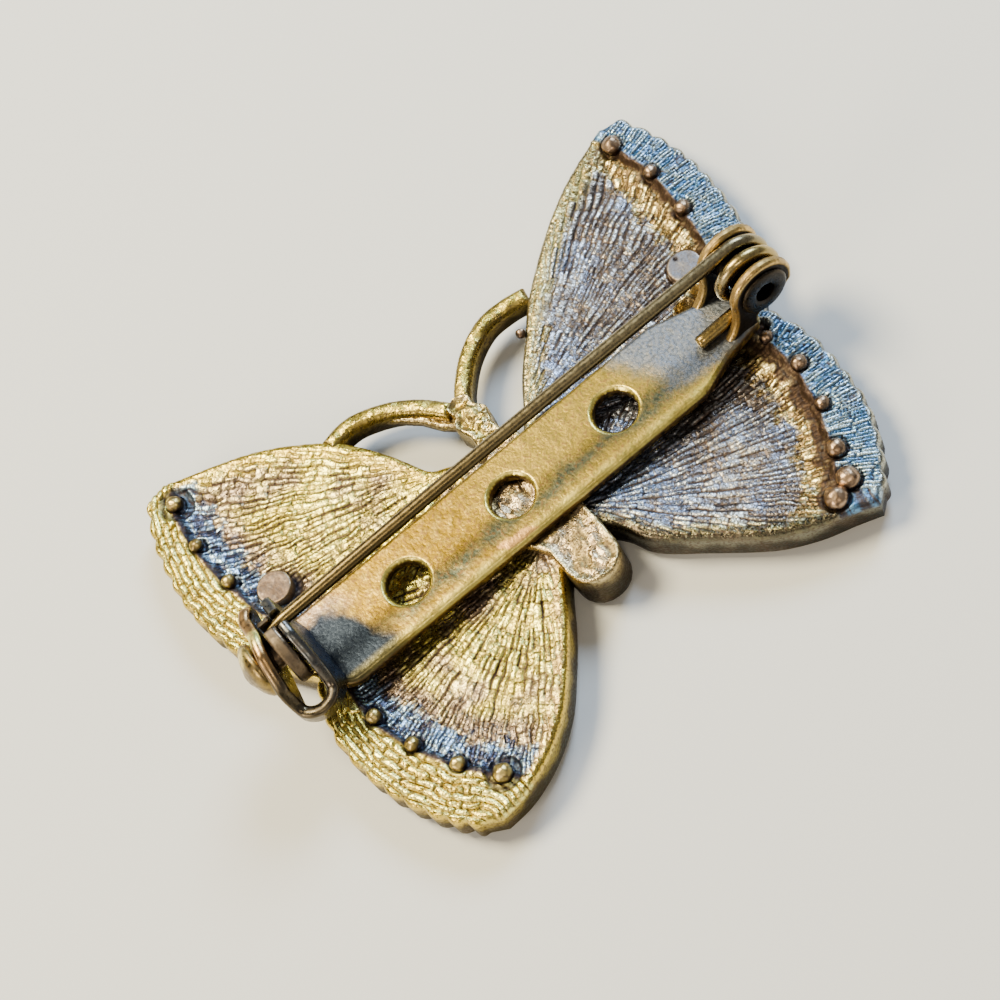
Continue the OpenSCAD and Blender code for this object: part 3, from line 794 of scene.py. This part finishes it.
def makeBoss(side, sign):
    t = bossShape["tones"]
    x, y = wingShape[side]["boss"]
    middle = castingMiddle + sign * x
    r, high = wingShape["bossRadius"], wingShape[side]["bossTop"]
    profile = [(bossShape["base"], 0), (bossShape["base"], r)]
    profile += [(high - drop, r - inset) for drop, inset in ((0.12, 0), (0.05, 0.02), (0.01, 0.06))]
    profile += [(high, r - 0.1 - 0.07 * k) for k in range(11)] + [(high, 0)]
    points, faces = lathe(profile, 64, lambda a, u, v: (middle + u, y + v, a))
    face = points[:, 2] > high - 0.03
    points[:, 2] += bossShape["dish"] * roughness(points[:, 0], points[:, 1], 51, 2) * face
    edge = np.hypot(points[:, 0] - middle, points[:, 1] - y)
    wall = smoothStep(high - 0.06, high - 0.2, points[:, 2])
    rim = smoothStep(r - 0.14, r - 0.03, edge) * (1 - wall)
    pit = np.hypot(points[:, 0] - middle + 0.1, points[:, 1] - y - 0.62)
    # the rim is a painted highlight on the soft edge, the wall a painted shade on the side
    tone = paint(len(points), t[side], (0.8 * rim, t["rim"]), (0.8 * wall, t["wall"]),
                 (smoothStep(0.2, 0.1, pit) * (side == "right"), t["pit"]))
    addPiece("boss_" + side, (points, faces, {"tone": tone, "cavity": 0.8 * wall}), discBrass, outwards=True)


makeBoss("right", sign=1)
makeBoss("left", sign=-1)

# Body, head and antennae

trunkShape = {
    "abdomen": [[-1.85, -7.4, 1.35], [0.95, -7.4, 1.35], [1, -4.5, 0.4], [0.95, 2.2, 0.4], [-2.7, 2.2, 0.4],
                [-2.7, -2.9, 0.4], [-1.9, -4.5, 0.4]],
    "abdomenTop": 2.93, "abdomenLow": 0.02,
    "head": [[-1.15, 1.6, 0.2], [0.6, 1.6, 0.2], [0.42, 3.6, 0.3], [0.72, 4.5, 0.35], [0.3, 5.1, 0.2],
             [0.42, 5.8, 0.3], [-0.35, 6.05, 0.3], [-1.05, 5.75, 0.25], [-0.95, 5.1, 0.2], [-1.3, 4.5, 0.35],
             [-0.98, 3.6, 0.3]],
    "headTop": 2.6,
    "web": [[-4.2, 8.25, 0.1], [-3.2, 7.35, 0.5], [-2.35, 6.45, 0.5], [-1.75, 5.4, 0.4], [-1.0, 4.6, 0.1],
            [-0.6, 5.6, 0.1], [-1.7, 6.9, 0.3], [-3.0, 8.0, 0.3]],
    "webTop": 2.05, "webLow": 1.2,
    "antennae": {
        "right": [[-0.1, 5.5], [0.48, 6.35], [1.75, 7.56], [3.3, 8.33], [4.75, 8.37], [6, 8.12]],
        "left": [[-0.8, 5.6], [-1.87, 6.96], [-3.1, 7.97], [-4.58, 8.66], [-5.6, 8.78], [-6.7, 8.55]]},
    "antennaWidth": 0.95, "antennaHeights": (0.9, 2.5),
    "step": 0.07,
    "tones": {"base": (0.37, 0.27, 0.10), "pink": (0.42, 0.30, 0.24), "deep": (0.09, 0.06, 0.04),
              "fleck": (0.85, 0.72, 0.45), "edge": (0.66, 0.52, 0.24), "gold": (0.85, 0.67, 0.10),
              "olive": (0.26, 0.19, 0.06)},
}


def roughTop(high, edge, lumps, seed, pink=0.0, gold=0.0, sag=0.0, grain=4.5, edgeTone="edge", flecks=1.0):
    t = trunkShape["tones"]

    def top(x, y, d):
        facets = np.abs(roughness(x, y, seed, 0.9, 2)) + 0.3 * np.abs(roughness(x, y, seed + 1, 2.2))
        z = high - roundOff(d, edge) - lumps * facets * smoothStep(0, 0.35, d) - sag * smoothStep(0.1, 0.6, d)
        fine = roughness(x, y, seed + 3, grain)
        z = np.minimum(z + 0.03 * fine * smoothStep(0, 0.2, d), high)
        tone = paint(len(x), t["base"], (pink * smoothStep(-0.4, 0.3, fine), t["pink"]), (gold, t["gold"]),
                     (0.75 * flecks * smoothStep(0.0, -0.5, fine), t["deep"]),
                     (0.7 * flecks * smoothStep(0.1, 0.6, fine), t["fleck"]),
                     (0.75 * smoothStep(0.36, 0.2, d), t[edgeTone]))
        return z, {"tone": tone, "cavity": 0.5 * smoothStep(0, -0.5, fine)}
    return top


def strip(table, width):
    c = curveThrough(table, 8)
    side = width / 2 * sideways(c)
    return np.vstack([c + side, (c - side)[::-1]])


def makeTrunk():
    t = trunkShape
    # name, outline, upper side, height of the lower side
    parts = [
        ("abdomen", roundedCorners(t["abdomen"]),
         roughTop(t["abdomenTop"], edge=0.22, lumps=0.2, seed=81, pink=0.5, sag=0.06, grain=1.7, flecks=0.6),
         t["abdomenLow"]),
        ("head", roundedCorners(t["head"]),
         roughTop(t["headTop"], edge=0.3, lumps=0.7, seed=82, pink=0.1, gold=0.45), wingShape["lift"]),
        ("web", roundedCorners(t["web"]),
         roughTop(t["webTop"], edge=0.2, lumps=0.3, seed=84, pink=0.5), t["webLow"])]
    low, high = t["antennaHeights"]
    for side in ("right", "left"):
        line = strip(t["antennae"][side], t["antennaWidth"])
        # the olive edge tone is a painted shade on the antenna's rounded sides
        top = roughTop(high, edge=0.42, lumps=0.1, seed=83, gold=0.9, grain=3, edgeTone="olive", flecks=0.5)
        parts.append(("antenna_" + side, line, top, low))
    for name, line, top, bottom in parts:
        slab = castSlab([line + [castingMiddle, 0]], t["step"], top, flatUnder(bottom, 0.3),
                        underStep=0.3, wallRows=8, shade=0.08)
        slab[0][:, 2] = np.maximum(slab[0][:, 2], 0)
        addPiece(name, slab, castBrass)


makeTrunk()
print("trunk made")

# Pin bar with its holes, rolled tail edge and neck

barShape = {
    "low": 2.9, "thick": 0.7, "width": 4.9,
    "end": -13.4, "neck": 13.25, "nearEar": -1.92, "farEar": 0.15, "earThick": 0.5,
    "roll": 0.6, "rollDrop": 0.2, "rollEnd": (11.5, 9.5),
    "holeRadius": 1.125, "holeEdge": 0.06,
    "step": 0.08,
    # where along the bar the coloured places fade in
    "deepFrom": (0.5, -5), "neckFrom": (6.4, 8.4), "slateFrom": (-10.2, -11.5), "pinkFrom": (-9.5, -12),
    "pinShadow": -2.25, "chip": -2.2,
    "tones": {"base": (0.40, 0.285, 0.048), "bright": (1.0, 0.82, 0.20), "teal": (0.11, 0.15, 0.12),
              "deep": (0.25, 0.155, 0.012), "neck": (0.20, 0.25, 0.35), "slate": (0.011, 0.023, 0.045),
              "pink": (0.34, 0.25, 0.20), "copper": (0.78, 0.42, 0.15), "wall": (0.20, 0.14, 0.07)},
}


def barTop(x, y, d):
    b, t = barShape, barShape["tones"]
    fromTail = y - (barPlace["middle"] - b["width"] / 2)
    over = np.clip(1 - fromTail / b["roll"], 0, 0.97)
    rolled = smoothStep(*b["rollEnd"], x)
    z = b["low"] + b["thick"] - b["rollDrop"] * (1 - np.sqrt(1 - over ** 2)) * rolled
    z = z - 0.12 * smoothStep(0.16, 0, d) + 0.012 * roughness(x, y, 31, 1.2)
    # bright edges all round, partly worn metal and partly painted highlight, and a painted highlight along
    # the rolled edge and round the holes' bevels
    wearAndHighlight = 0.35 * smoothStep(0.2, 0.05, d) * smoothStep(-0.4, 0.3, noise(x, y, 33, 2))
    unevenHighlight = 0.6 + 0.4 * smoothStep(-0.4, 0.4, noise(x * 1.3, y * 1.6, 37))
    wearAndHighlight = wearAndHighlight + unevenHighlight * smoothStep(b["roll"] + 0.1, 0.1, fromTail) * rolled
    for holeX in barPlace["holes"]:
        ring = np.hypot(x - holeX, y - barPlace["middle"]) - b["holeRadius"]
        z = z - b["holeEdge"] * smoothStep(0.2, 0.02, ring)
        wearAndHighlight = wearAndHighlight + smoothStep(0.24, 0.15, ring)
    wander = 0.3 * noise(x, y, 34, 0.7) + 0.12 * noise(x, y, 36, 2.3)
    # a teal streak painted as the pin's shadow and dark reflection on the bar
    pinShadow = bell(y - b["pinShadow"] + wander, 0.42) * smoothStep(-12, -7, x) * smoothStep(10.5, 7, x)
    neck = smoothStep(*b["neckFrom"], x + 2 * wander + 0.5 * (y + 1.15))
    neck = neck * smoothStep(-3.1, -2.3, y + 0.4 * wander)
    slate = smoothStep(*b["slateFrom"], x + 1.5 * wander + 0.5 * (y + 1))
    slate = slate * smoothStep(1.1, 0.3, y + 0.8 * wander)
    pink = smoothStep(*b["pinkFrom"], x + 2 * wander) * smoothStep(-0.6, 0.4, y)
    chip = 0.5 + noise(x * 1.6, y * 2.5, 35) - ((x - b["chip"]) / 1.15) ** 2
    copper = smoothStep(0.0, 0.12, chip) * smoothStep(0.14, 0.2, fromTail) * smoothStep(0.85, 0.7, fromTail)
    tone = paint(
        len(x), t["base"], (smoothStep(*b["deepFrom"], x), t["deep"]), (0.85 * pinShadow, t["teal"]),
        (0.85 * neck, t["neck"]), (0.8 * pink, t["pink"]), (0.95 * slate, t["slate"]),
        (wearAndHighlight * (1 - 0.8 * slate) * (1 - 0.5 * neck), t["bright"]),
        # the copper chip, and painted shade at the very edge above the side wall
        (0.9 * copper, t["copper"]), (smoothStep(0.05, 0.0, d), t["wall"]))
    clean = np.clip(np.maximum(np.maximum(slate, 0.8 * neck), 0.8 * wearAndHighlight), 0, 1)
    return z, {"tone": tone, "cavity": 0 * x, "clean": clean}


def barUnder(x, y, d):
    return barShape["low"] + 0.08 * smoothStep(0.12, 0, d)


def makeBar():
    b = barShape
    tail, head = barPlace["middle"] - b["width"] / 2, barPlace["middle"] + b["width"] / 2
    near, far = b["nearEar"] - b["earThick"], b["farEar"] + b["earThick"]
    outline = roundedCorners([
        [b["end"], tail, 1.1], [9.05, tail, 2], [11.15, -2.82, 1], [b["neck"], near, 0.15],
        [b["neck"], far, 0.15], [11.55, far - 0.1, 1], [9.15, head, 2], [b["end"], head, 0.25]])
    holes = [circle(holeX, barPlace["middle"], b["holeRadius"], 48) for holeX in barPlace["holes"]]
    slab = castSlab([outline] + holes, b["step"], barTop, barUnder, underStep=0.5, shade=0.12)
    addPiece("pin_bar", slab, barBrass)


makeBar()

# Ears, folded up from the neck

earShape = {"radius": 1.75, "hole": 1.03, "edge": 0.16, "arc": (-25, 192), "step": 0.09,
            "foot": [[12.15, 4.6], [11.85, 4.0], [11.25, 3.1], [13.25, 3.1], [13.45, 3.95], [14.6, 4.15]],
            # tones: the dark face is a painted shade
            "tones": {"edge": (0.66, 0.44, 0.15), "face": (0.02, 0.016, 0.014)}}


def makeEar(name, y):
    e, thick = earShape, barShape["earThick"]
    turn = np.radians(np.arange(*e["arc"], 7))
    arc = np.column_stack([hinge["x"] + e["radius"] * np.cos(turn), hinge["z"] + e["radius"] * np.sin(turn)])
    line = curveThrough(np.vstack([arc[::3], e["foot"]]), 4)
    around = turn[0] + 2 * np.pi * np.arange(39) / 39
    hole = np.column_stack([hinge["x"] + e["hole"] * np.cos(around), hinge["z"] + e["hole"] * np.sin(around)])

    def top(u, v, d):
        face = smoothStep(0.1, 0.24, nearest(line, u, v, closed=True)[0])
        tone = paint(len(u), e["tones"]["edge"], (face, e["tones"]["face"]))
        return thick - roundOff(d, e["edge"]), {"tone": tone, "cavity": 0.5 * face, "clean": face}

    under = flatUnder(0, e["edge"])
    points, faces, marks = castSlab([line, hole], e["step"], top, under, underStep=e["step"], shade=0.9)
    # (u, v, height) lies in the ear's own plane; height runs towards the tail
    placed = np.column_stack([points[:, 0], y + thick - points[:, 2], points[:, 1]])
    addPiece(name, (placed, faces, marks), sheetBrass)


makeEar("ear_far", barShape["farEar"])
makeEar("ear_near", barShape["nearEar"] - barShape["earThick"])
print("bar and ears made")

# Hinge rivet: a hollow tube rolled over at both ends

rivetShape = {
    "far": 0.86, "near": -2.62, "radius": 1.0, "head": 1.3, "bore": 0.55,
    # tones: the dark face and the darker bore are painted shade
    "tones": {"face": (0.018, 0.015, 0.013), "edge": (0.045, 0.035, 0.025), "bore": (0.008, 0.007, 0.007)},
}


def makeRivet():
    r, t = rivetShape, rivetShape["tones"]
    # from the bore over the rolled end to the tube: distance from the end, radius
    end = [(0.05, r["bore"]), (0, r["bore"] + 0.1), (0, r["head"] - 0.15), (0.05, r["head"] - 0.03),
           (0.1, r["head"]), (0.17, r["head"]), (0.18, r["radius"])]
    profile = [(r["far"] - s, q) for s, q in end] + [(r["near"] + s, q) for s, q in end[::-1]]
    points, faces = lathe(profile + profile[:1], 56, lambda a, u, v: (hinge["x"] + u, a, hinge["z"] + v))
    fromAxis = np.hypot(points[:, 0] - hinge["x"], points[:, 2] - hinge["z"])
    tone = paint(len(points), t["face"], (smoothStep(1.15, 1.29, fromAxis), t["edge"]),
                 (smoothStep(0.68, 0.56, fromAxis), t["bore"]))
    bore = smoothStep(0.65, 0.56, fromAxis)
    marks = {"tone": tone, "cavity": 0.4 * bore, "clean": 0 * bore + 0.8}
    addPiece("hinge_rivet_ring", (points, faces, marks), sheetBrass, "brooch", "hinge_rivet", outwards=True)


makeRivet()

# Pin wire: point, pin, coil and spring leg

wireShape = {
    "tip": [-14.44, -0.25, 6.78], "bow": 0.16, "point": 1.0,
    "course": [-0.25, -0.78, -1.2, -1.54],  # y after each half turn of the coil
    "leg": 3.8, "legEnd": 3.98, "sides": 20,
    "tones": {"dark": (0.022, 0.015, 0.007), "pin": (0.20, 0.145, 0.06), "legBright": (0.62, 0.44, 0.14),
              "towardsCoil": (0.34, 0.28, 0.16), "coil": (0.46, 0.34, 0.13), "leg": (0.5, 0.34, 0.11)},
}


def makeWire():
    w, t = wireShape, wireShape["tones"]
    r, big = hinge["wireRadius"], hinge["coilRadius"]
    axis = np.array([hinge["x"], 0, hinge["z"]])
    tip, start = np.array(w["tip"]), axis + [0, w["course"][0], big]
    length = np.linalg.norm(start - tip)
    path = []  # centre, outward direction, radius
    for f in np.concatenate([np.linspace(0, 0.08, 12), np.linspace(0.1, 0.995, 60)]):
        centre = tip + (start - tip) * f + np.array([0, 0, w["bow"] * math.sin(math.pi * f) ** 1.2])
        path.append((centre, np.array([0, 0, 1]), r * min(1, 0.22 + 0.78 * (f * length / w["point"]) ** 0.8)))
    for a in np.arange(0, 541, 6):
        out = np.array([math.sin(math.radians(a)), 0, math.cos(math.radians(a))])
        path.append((axis + big * out + [0, np.interp(a / 180, range(4), w["course"]), 0], out, r))
    low = axis + [0, w["course"][3], -big]
    end = np.array([low[0] - w["leg"], low[1], w["legEnd"]])
    for f, share in [(f, 1) for f in np.linspace(0.1, 0.97, 12)] + [(0.99, 0.8), (1, 0.5)]:
        path.append((low + (end - low) * f, np.array([0, 0, -1]), r * share))
    points, faces = sweep(path, np.array([0, 1, 0]), w["sides"])
    x, y, z = points.T
    coil = smoothStep(hinge["x"] - 1.5, hinge["x"] - 0.5, x) * smoothStep(-0.6, -0.9, y)
    leg = smoothStep(-1.3, -1.5, y) * smoothStep(5.2, 4.6, z)
    # painted highlight where it faces away from the coil's middle or, on the leg, upwards, and painted shade
    # on the other side
    facing = np.tile(np.cos(2 * np.pi * np.arange(w["sides"]) / w["sides"]), len(path))
    outer = smoothStep(0.1, 0.9, np.where(leg > 0.5, -facing, facing))
    tone = paint(len(points), t["dark"], (outer, t["pin"]), (0.8 * outer * (leg > 0.5), t["legBright"]),
                 (outer * smoothStep(-6, 9, x), t["towardsCoil"]), (coil * (0.35 + 0.6 * outer), t["coil"]),
                 (leg * (0.3 + 0.7 * outer), t["leg"]))
    marks = {"tone": tone, "cavity": 0 * x, "clean": 0 * x + 0.8}
    addPiece("pin_wire_drawn", (points, faces, marks), wireBrass, "pin", "pin_wire", sharp=80, outwards=True)


makeWire()
print("hinge and wire made")

# Catch housing: one strip of sheet, up the right cheek, round the fold, along the left cheek

catchShape = {
    "thick": 0.54, "foldThick": 0.64, "leftThick": 0.62, "pinY": -0.25, "foldY": -2.72,
    "headEnd": 1.55, "leftEnd": 1.85, "curl": 0.4, "curlStart": 0.85,
    "rightFace": -13.3, "rightTurn": 1.5, "leftFace": -15.3, "leftTurn": -13.0, "headTurn": 1.0,
    "lean": 17, "foldLow": 3.3, "foldHigh": 5.1,
    "flare": 0.34,  # how far the right cheek spreads over the bar's end at its foot
    # y, z along the upper and the lower edge
    "topLine": [[-2.9, 6.1], [-2.3, 6.75], [-1.6, 7.38], [-0.95, 7.5], [-0.3, 7.42], [0.6, 7.0], [1.3, 6.75],
                [1.55, 6.2]],
    "lowLine": [[-2.9, 3.3], [-2.3, 3.3], [-0.95, 3.6], [0.3, 4.1], [0.9, 4.5], [1.3, 4.95], [1.55, 5.5]],
    "notch": 0.44, "notchFloor": 6.42, "foot": (-2.1, 0.5, 3.3),
    "rows": 14,
    # tones: inside is a painted shade on the strip's inner face, the spot a painted highlight on the left
    # cheek
    "tones": {"right": (0.10, 0.105, 0.11), "fold": (0.085, 0.068, 0.042), "left": (0.36, 0.215, 0.09),
              "highlightSpot": (1.0, 0.80, 0.26), "inside": (0.02, 0.015, 0.013)},
}


def catchStations():
    # steps along the strip: x, y, outward x and y, share of the way to the left cheek, kind
    c = catchShape
    turns = ("rightTurn", "leftTurn", "headTurn")
    rightTan, leftTan, headTan = [math.tan(math.radians(c[key])) for key in turns]
    rightX = c["rightFace"] - c["thick"] / 2
    leftX = c["leftFace"] + c["leftThick"] / 2
    stations = []
    for y in np.linspace(c["headEnd"], c["foldY"], 84):
        away = c["pinY"] - y
        stations.append((rightX + away * (rightTan if away > 0 else headTan), y, 1, rightTan, 0, "right"))

    away = c["pinY"] - c["foldY"]
    a, b = rightX + away * rightTan, leftX + away * leftTan
    middle, r = (a + b) / 2, (a - b) / 2
    for q in np.linspace(0, math.pi, 26)[1:-1]:
        out = (math.cos(q), -math.sin(q))
        stations.append((middle + r * out[0], c["foldY"] + r * out[1], *out, q / math.pi, "fold"))

    def leftAt(y):  # the head end curls towards the right cheek
        away = c["pinY"] - y
        curl = c["curl"] * smoothStep(c["curlStart"], c["leftEnd"], y)
        return leftX + away * (leftTan if away > 0 else -headTan) + curl

    for y in np.linspace(c["foldY"], c["leftEnd"], 60):
        stations.append((leftAt(y), y, -1, (leftAt(y + 0.01) - leftAt(y - 0.01)) / 0.02, 1, "left"))
    return stations, r


def makeHousing():
    c, tones = catchShape, catchShape["tones"]
    stations, foldRadius = catchStations()
    high, low = curveThrough(c["topLine"], 6), curveThrough(c["lowLine"], 6)
    foldTop = np.interp(c["foldY"], high[:, 0], high[:, 1])
    up = np.arange(c["rows"]) / (c["rows"] - 1)
    points, colours = [], []
    for x, y, outX, outY, way, kind in stations:
        t = np.interp(way, [0, 0.4, 0.8, 1], [c["thick"], c["foldThick"], c["foldThick"], c["leftThick"]])
        if kind == "fold":
            share = min(1, (c["foldY"] - y) / (0.55 * foldRadius))
            zHigh = foldTop + (c["foldHigh"] - foldTop) * smoothStep(0, 1, share)
            zLow = c["foldLow"]
        else:
            longer = c["leftEnd"] - c["headEnd"] if kind == "left" else 0
            v = y - longer * smoothStep(0, c["leftEnd"], y)
            zHigh, zLow = np.interp(v, high[:, 0], high[:, 1]), np.interp(v, low[:, 0], low[:, 1])
            if kind == "right":
                dip = smoothStep(c["notch"] + 0.08, c["notch"] - 0.1, abs(y - c["pinY"]))
                zHigh = zHigh + (c["notchFloor"] - zHigh) * dip
                if c["foot"][0] < y < c["foot"][1]:
                    zLow = c["foot"][2]
            share = smoothStep(0.9, 0, y - c["foldY"]) * 0.25
        lean = math.tan(math.radians(c["lean"])) * share
        edge = t / 2 * 0.75
        straight = (zHigh - zLow - 2 * edge) * up

        def rounded(z, start, bright):
            turn = [math.radians(start + 30 * k) for k in range(5)]
            return [(t / 2 * math.cos(q), z + edge * math.sin(q), bright) for q in turn]

        ring = [(t / 2, zLow + edge + s, False) for s in straight] + rounded(zHigh - edge, 30, True)
        ring += [(-t / 2, zHigh - edge - s, False) for s in straight] + rounded(zLow + edge, 210, False)
        left = 1 if way == 1 else 0
        tone = paint(1, tones["fold"], (smoothStep(0.35, -0.1, way - 0.1 * (y - c["foldY"])), tones["right"]),
                     (left * smoothStep(c["foldY"], c["foldY"] + 1.6, y), tones["left"]),
                     (left * smoothStep(0.6, 0.25, abs(y + 0.35)), tones["highlightSpot"]))[0]
        out = np.array([outX, outY]) / math.hypot(outX, outY)
        for off, z, bright in ring:
            if off > 0:
                off += c["flare"] * max(0, 1 - 3 * way) * smoothStep(0, 1, (zHigh - z - 0.3) / (zHigh - 3.6))
            points.append((x + off * out[0], y + off * out[1] - lean * max(0, z - c["foldLow"]), z))
            # the upper rounded edge is painted brighter as a highlight and the inner face dark as shade
            colours.append(tone * (1.25 if bright else 1) if off > 0 or bright else tones["inside"])
    rows = np.arange(len(points)).reshape(len(stations), -1).tolist()
    marks = {"tone": np.array(colours), "cavity": np.zeros(len(points))}
    addPiece("catch_housing", (points, joinRows(rows) + [rows[0], rows[-1]], marks), sheetBrass, sharp=60,
             outwards=True)


makeHousing()

# Catch rotor: slotted disc, hub and domed knob

rotorShape = {
    "discX": -14.61, "thick": 0.71, "radius": 1.78, "slot": 0.54, "edge": 0.12, "slotTurn": 92, "step": 0.08,
    "seatX": -13.42, "pinSlope": 0.4,  # where the pin lies in the catch, and how far it tilts down towards it
    "hub": 0.6, "knobX": -15.5, "knobRadius": 1.5, "knobOut": 1.1,
    # the knob's outline from its edge to its top: distance outwards, inset from the radius
    "knobLine": [(0, 0.3), (0.04, 0.12), (0.14, 0.02), (0.26, 0), (0.4, 0.03), (0.55, 0.13), (0.7, 0.3),
                 (0.84, 0.56), (0.95, 0.88)],
    # tones: the disc's dark colour is a painted shade between the cheeks, under a painted shade at the knob's
    # foot, the spot a painted highlight on the knob
    "tones": {"disc": (0.07, 0.055, 0.042), "discEdge": (0.20, 0.15, 0.10), "knob": (0.25, 0.175, 0.055),
              "highlightSpot": (0.95, 0.78, 0.28), "under": (0.10, 0.06, 0.03)},
}


def slotLine():
    # the disc's outline with its slot, which runs in from the edge and then round with the pin
    r = rotorShape
    half = r["slot"] / 2
    sy = catchShape["pinY"] - catchAxis["y"]
    drop = (hinge["x"] - r["seatX"]) * math.sin(math.radians(r["pinSlope"]))
    sz = hinge["z"] + hinge["coilRadius"] - drop - catchAxis["z"]
    reach, start = math.hypot(sy, sz), math.atan2(sz, sy)
    last = start - math.radians(r["slotTurn"])
    outer, inner = [math.sqrt(r["radius"] ** 2 - (sy + side) ** 2) for side in (half, -half)]

    def arc(centre, radius, a, b, count):
        q = np.linspace(a, b, count)
        return np.column_stack([centre[0] + radius * np.cos(q), centre[1] + radius * np.sin(q)])

    meet = math.acos((sy + half) / (reach + half))
    return np.vstack([
        [[sy + half, outer]],
        arc((0, 0), reach + half, meet, last, 18),
        arc((reach * math.cos(last), reach * math.sin(last)), half, last, last - math.pi, 10)[1:-1],
        arc((0, 0), reach - half, last, start, 18),
        arc((sy, sz), half, start + math.pi, math.pi, 6)[1:],
        [[sy - half, inner]],
        arc((0, 0), r["radius"], math.atan2(inner, sy - half), math.atan2(outer, sy + half) + 2 * math.pi,
            90)[1:-1]])


def makeRotor():
    r, t = rotorShape, rotorShape["tones"]
    y, z = catchAxis["y"], catchAxis["z"]

    def top(u, v, d):
        tone = paint(len(u), t["disc"], (smoothStep(0.2, 0.08, d), t["discEdge"]))
        return r["thick"] - roundOff(d, r["edge"]), {"tone": tone, "cavity": 0 * u}

    points, faces, marks = castSlab([slotLine()], r["step"], top, flatUnder(0, r["edge"]),
                                    underStep=r["step"], wallRows=4, shade=0.9)
    placed = np.column_stack([r["discX"] + points[:, 2], y + points[:, 0], z + points[:, 1]])
    addPiece("rotor_disc", (placed, faces, marks), sheetBrass, "catch", "catch_rotor", outwards=True)

    start, base, tip = -r["discX"] - 0.1, -r["knobX"], -r["knobX"] + r["knobOut"]
    profile = [(start, 0), (start, r["hub"]), (base + 0.05, r["hub"])]
    profile += [(base + out, r["knobRadius"] - inset) for out, inset in r["knobLine"]]
    points, faces = lathe(profile + [(tip - 0.02, 0.25), (tip, 0)], 64, lambda a, u, v: (-a, y + u, z + v))
    out = -points[:, 0] - base
    highlightSpot = np.hypot(points[:, 1] - y - 0.45, points[:, 2] - z - 1.05)
    tone = paint(len(points), t["knob"], (smoothStep(0.6, 0.2, highlightSpot), t["highlightSpot"]),
                 (smoothStep(0.12, 0.0, out), t["under"]))
    marks = {"tone": tone, "cavity": 0.5 * smoothStep(0.05, -0.1, out)}
    addPiece("knob", (points, faces, marks), sheetBrass, "catch", "catch_rotor", outwards=True)


makeRotor()
print("catch made")

# Solder beside the hinge

solderShape = {"outline": [[10.4, 0.3, 0.3], [12.7, 0.3, 0.3], [12.6, 1.95, 0.5], [10.5, 1.55, 0.3]],
               "low": 1.0, "high": 3.22}


def makeSolder():
    line = roundedCorners(solderShape["outline"]) + [castingMiddle, 0]
    top = roughTop(solderShape["high"], edge=0.35, lumps=0.8, seed=91, pink=0.2)
    slab = castSlab([line], trunkShape["step"], top, flatUnder(solderShape["low"]), underStep=0.3, wallRows=6)
    addPiece("solder", slab, castBrass)


makeSolder()

# Floor, lights and camera

studio = {
    "floor": (0.80, 0.79, 0.77), "floorHalf": 0.4,
    "world": (1, 0.98, 0.95), "worldStrength": 0.19,
    "lights": [
        # name, direction, distance, size, watts, colour
        ("warm key", (-0.30, 0.42, 0.85), 0.30, 0.12, 1.65, (1.0, 0.88, 0.58)),
        ("cool fill", (0.62, 0.42, 0.70), 0.30, 0.13, 0.95, (0.62, 0.80, 1.0)),
        ("low left", (-0.90, -0.25, 0.40), 0.30, 0.12, 0.5, (1.0, 0.86, 0.64)),
        ("tail side", (-0.15, -0.60, 0.75), 0.30, 0.07, 0.14, (1.0, 0.86, 0.62)),
    ],
    # lens and place worked out from the bar's straight edges and holes in the photograph
    "camera": {"right": (0.7689, -0.5733, -0.2821), "down": (-0.6366, -0.6496, -0.4150),
               "ahead": (0.0547, 0.4987, -0.8649), "place": (-8.44, -61.04, 107.79),
               "lens": 90, "sensor": 36},
}


def makeFloor():
    half = studio["floorHalf"]
    corners = [(-half, -half, 0), (half, -half, 0), (half, half, 0), (-half, half, 0)]
    mesh = bpy.data.meshes.new("floor")
    mesh.from_pydata(corners, [], [(0, 1, 2, 3)])
    floor = bpy.data.objects.new("floor", mesh)
    bpy.context.scene.collection.objects.link(floor)
    material, tree = startMaterial("pale floor")
    fill(tree, tree.nodes["Principled BSDF"], {"Base Color": (*studio["floor"], 1), "Roughness": 0.7})
    mesh.materials.append(material)


def makeLights():
    world = bpy.data.worlds.new("studio")
    world.use_nodes = True
    fill(world.node_tree, world.node_tree.nodes["Background"],
         {"Color": (*studio["world"], 1), "Strength": studio["worldStrength"]})
    bpy.context.scene.world = world
    for name, direction, distance, size, watts, colour in studio["lights"]:
        data = bpy.data.lights.new(name, "AREA")
        data.shape = "DISK"
        data.size = size
        data.energy = watts
        data.color = colour
        lamp = bpy.data.objects.new(name, data)
        bpy.context.scene.collection.objects.link(lamp)
        away = Vector(direction).normalized()
        lamp.location = away * distance
        lamp.rotation_euler = away.to_track_quat("Z", "Y").to_euler()


def makeCamera():
    view = studio["camera"]
    right, down, ahead = [Vector(view[key]) for key in ("right", "down", "ahead")]
    data = bpy.data.cameras.new("camera")
    data.lens = view["lens"]
    data.sensor_width = view["sensor"]
    data.clip_start = 5 * mm
    camera = bpy.data.objects.new("camera", data)
    axes = Matrix((right, -down, -ahead)).transposed()
    camera.matrix_world = Matrix.Translation(Vector(view["place"]) * mm) @ axes.to_4x4()
    bpy.context.scene.collection.objects.link(camera)
    bpy.context.scene.camera = camera


makeFloor()
makeLights()
makeCamera()
print("studio made")
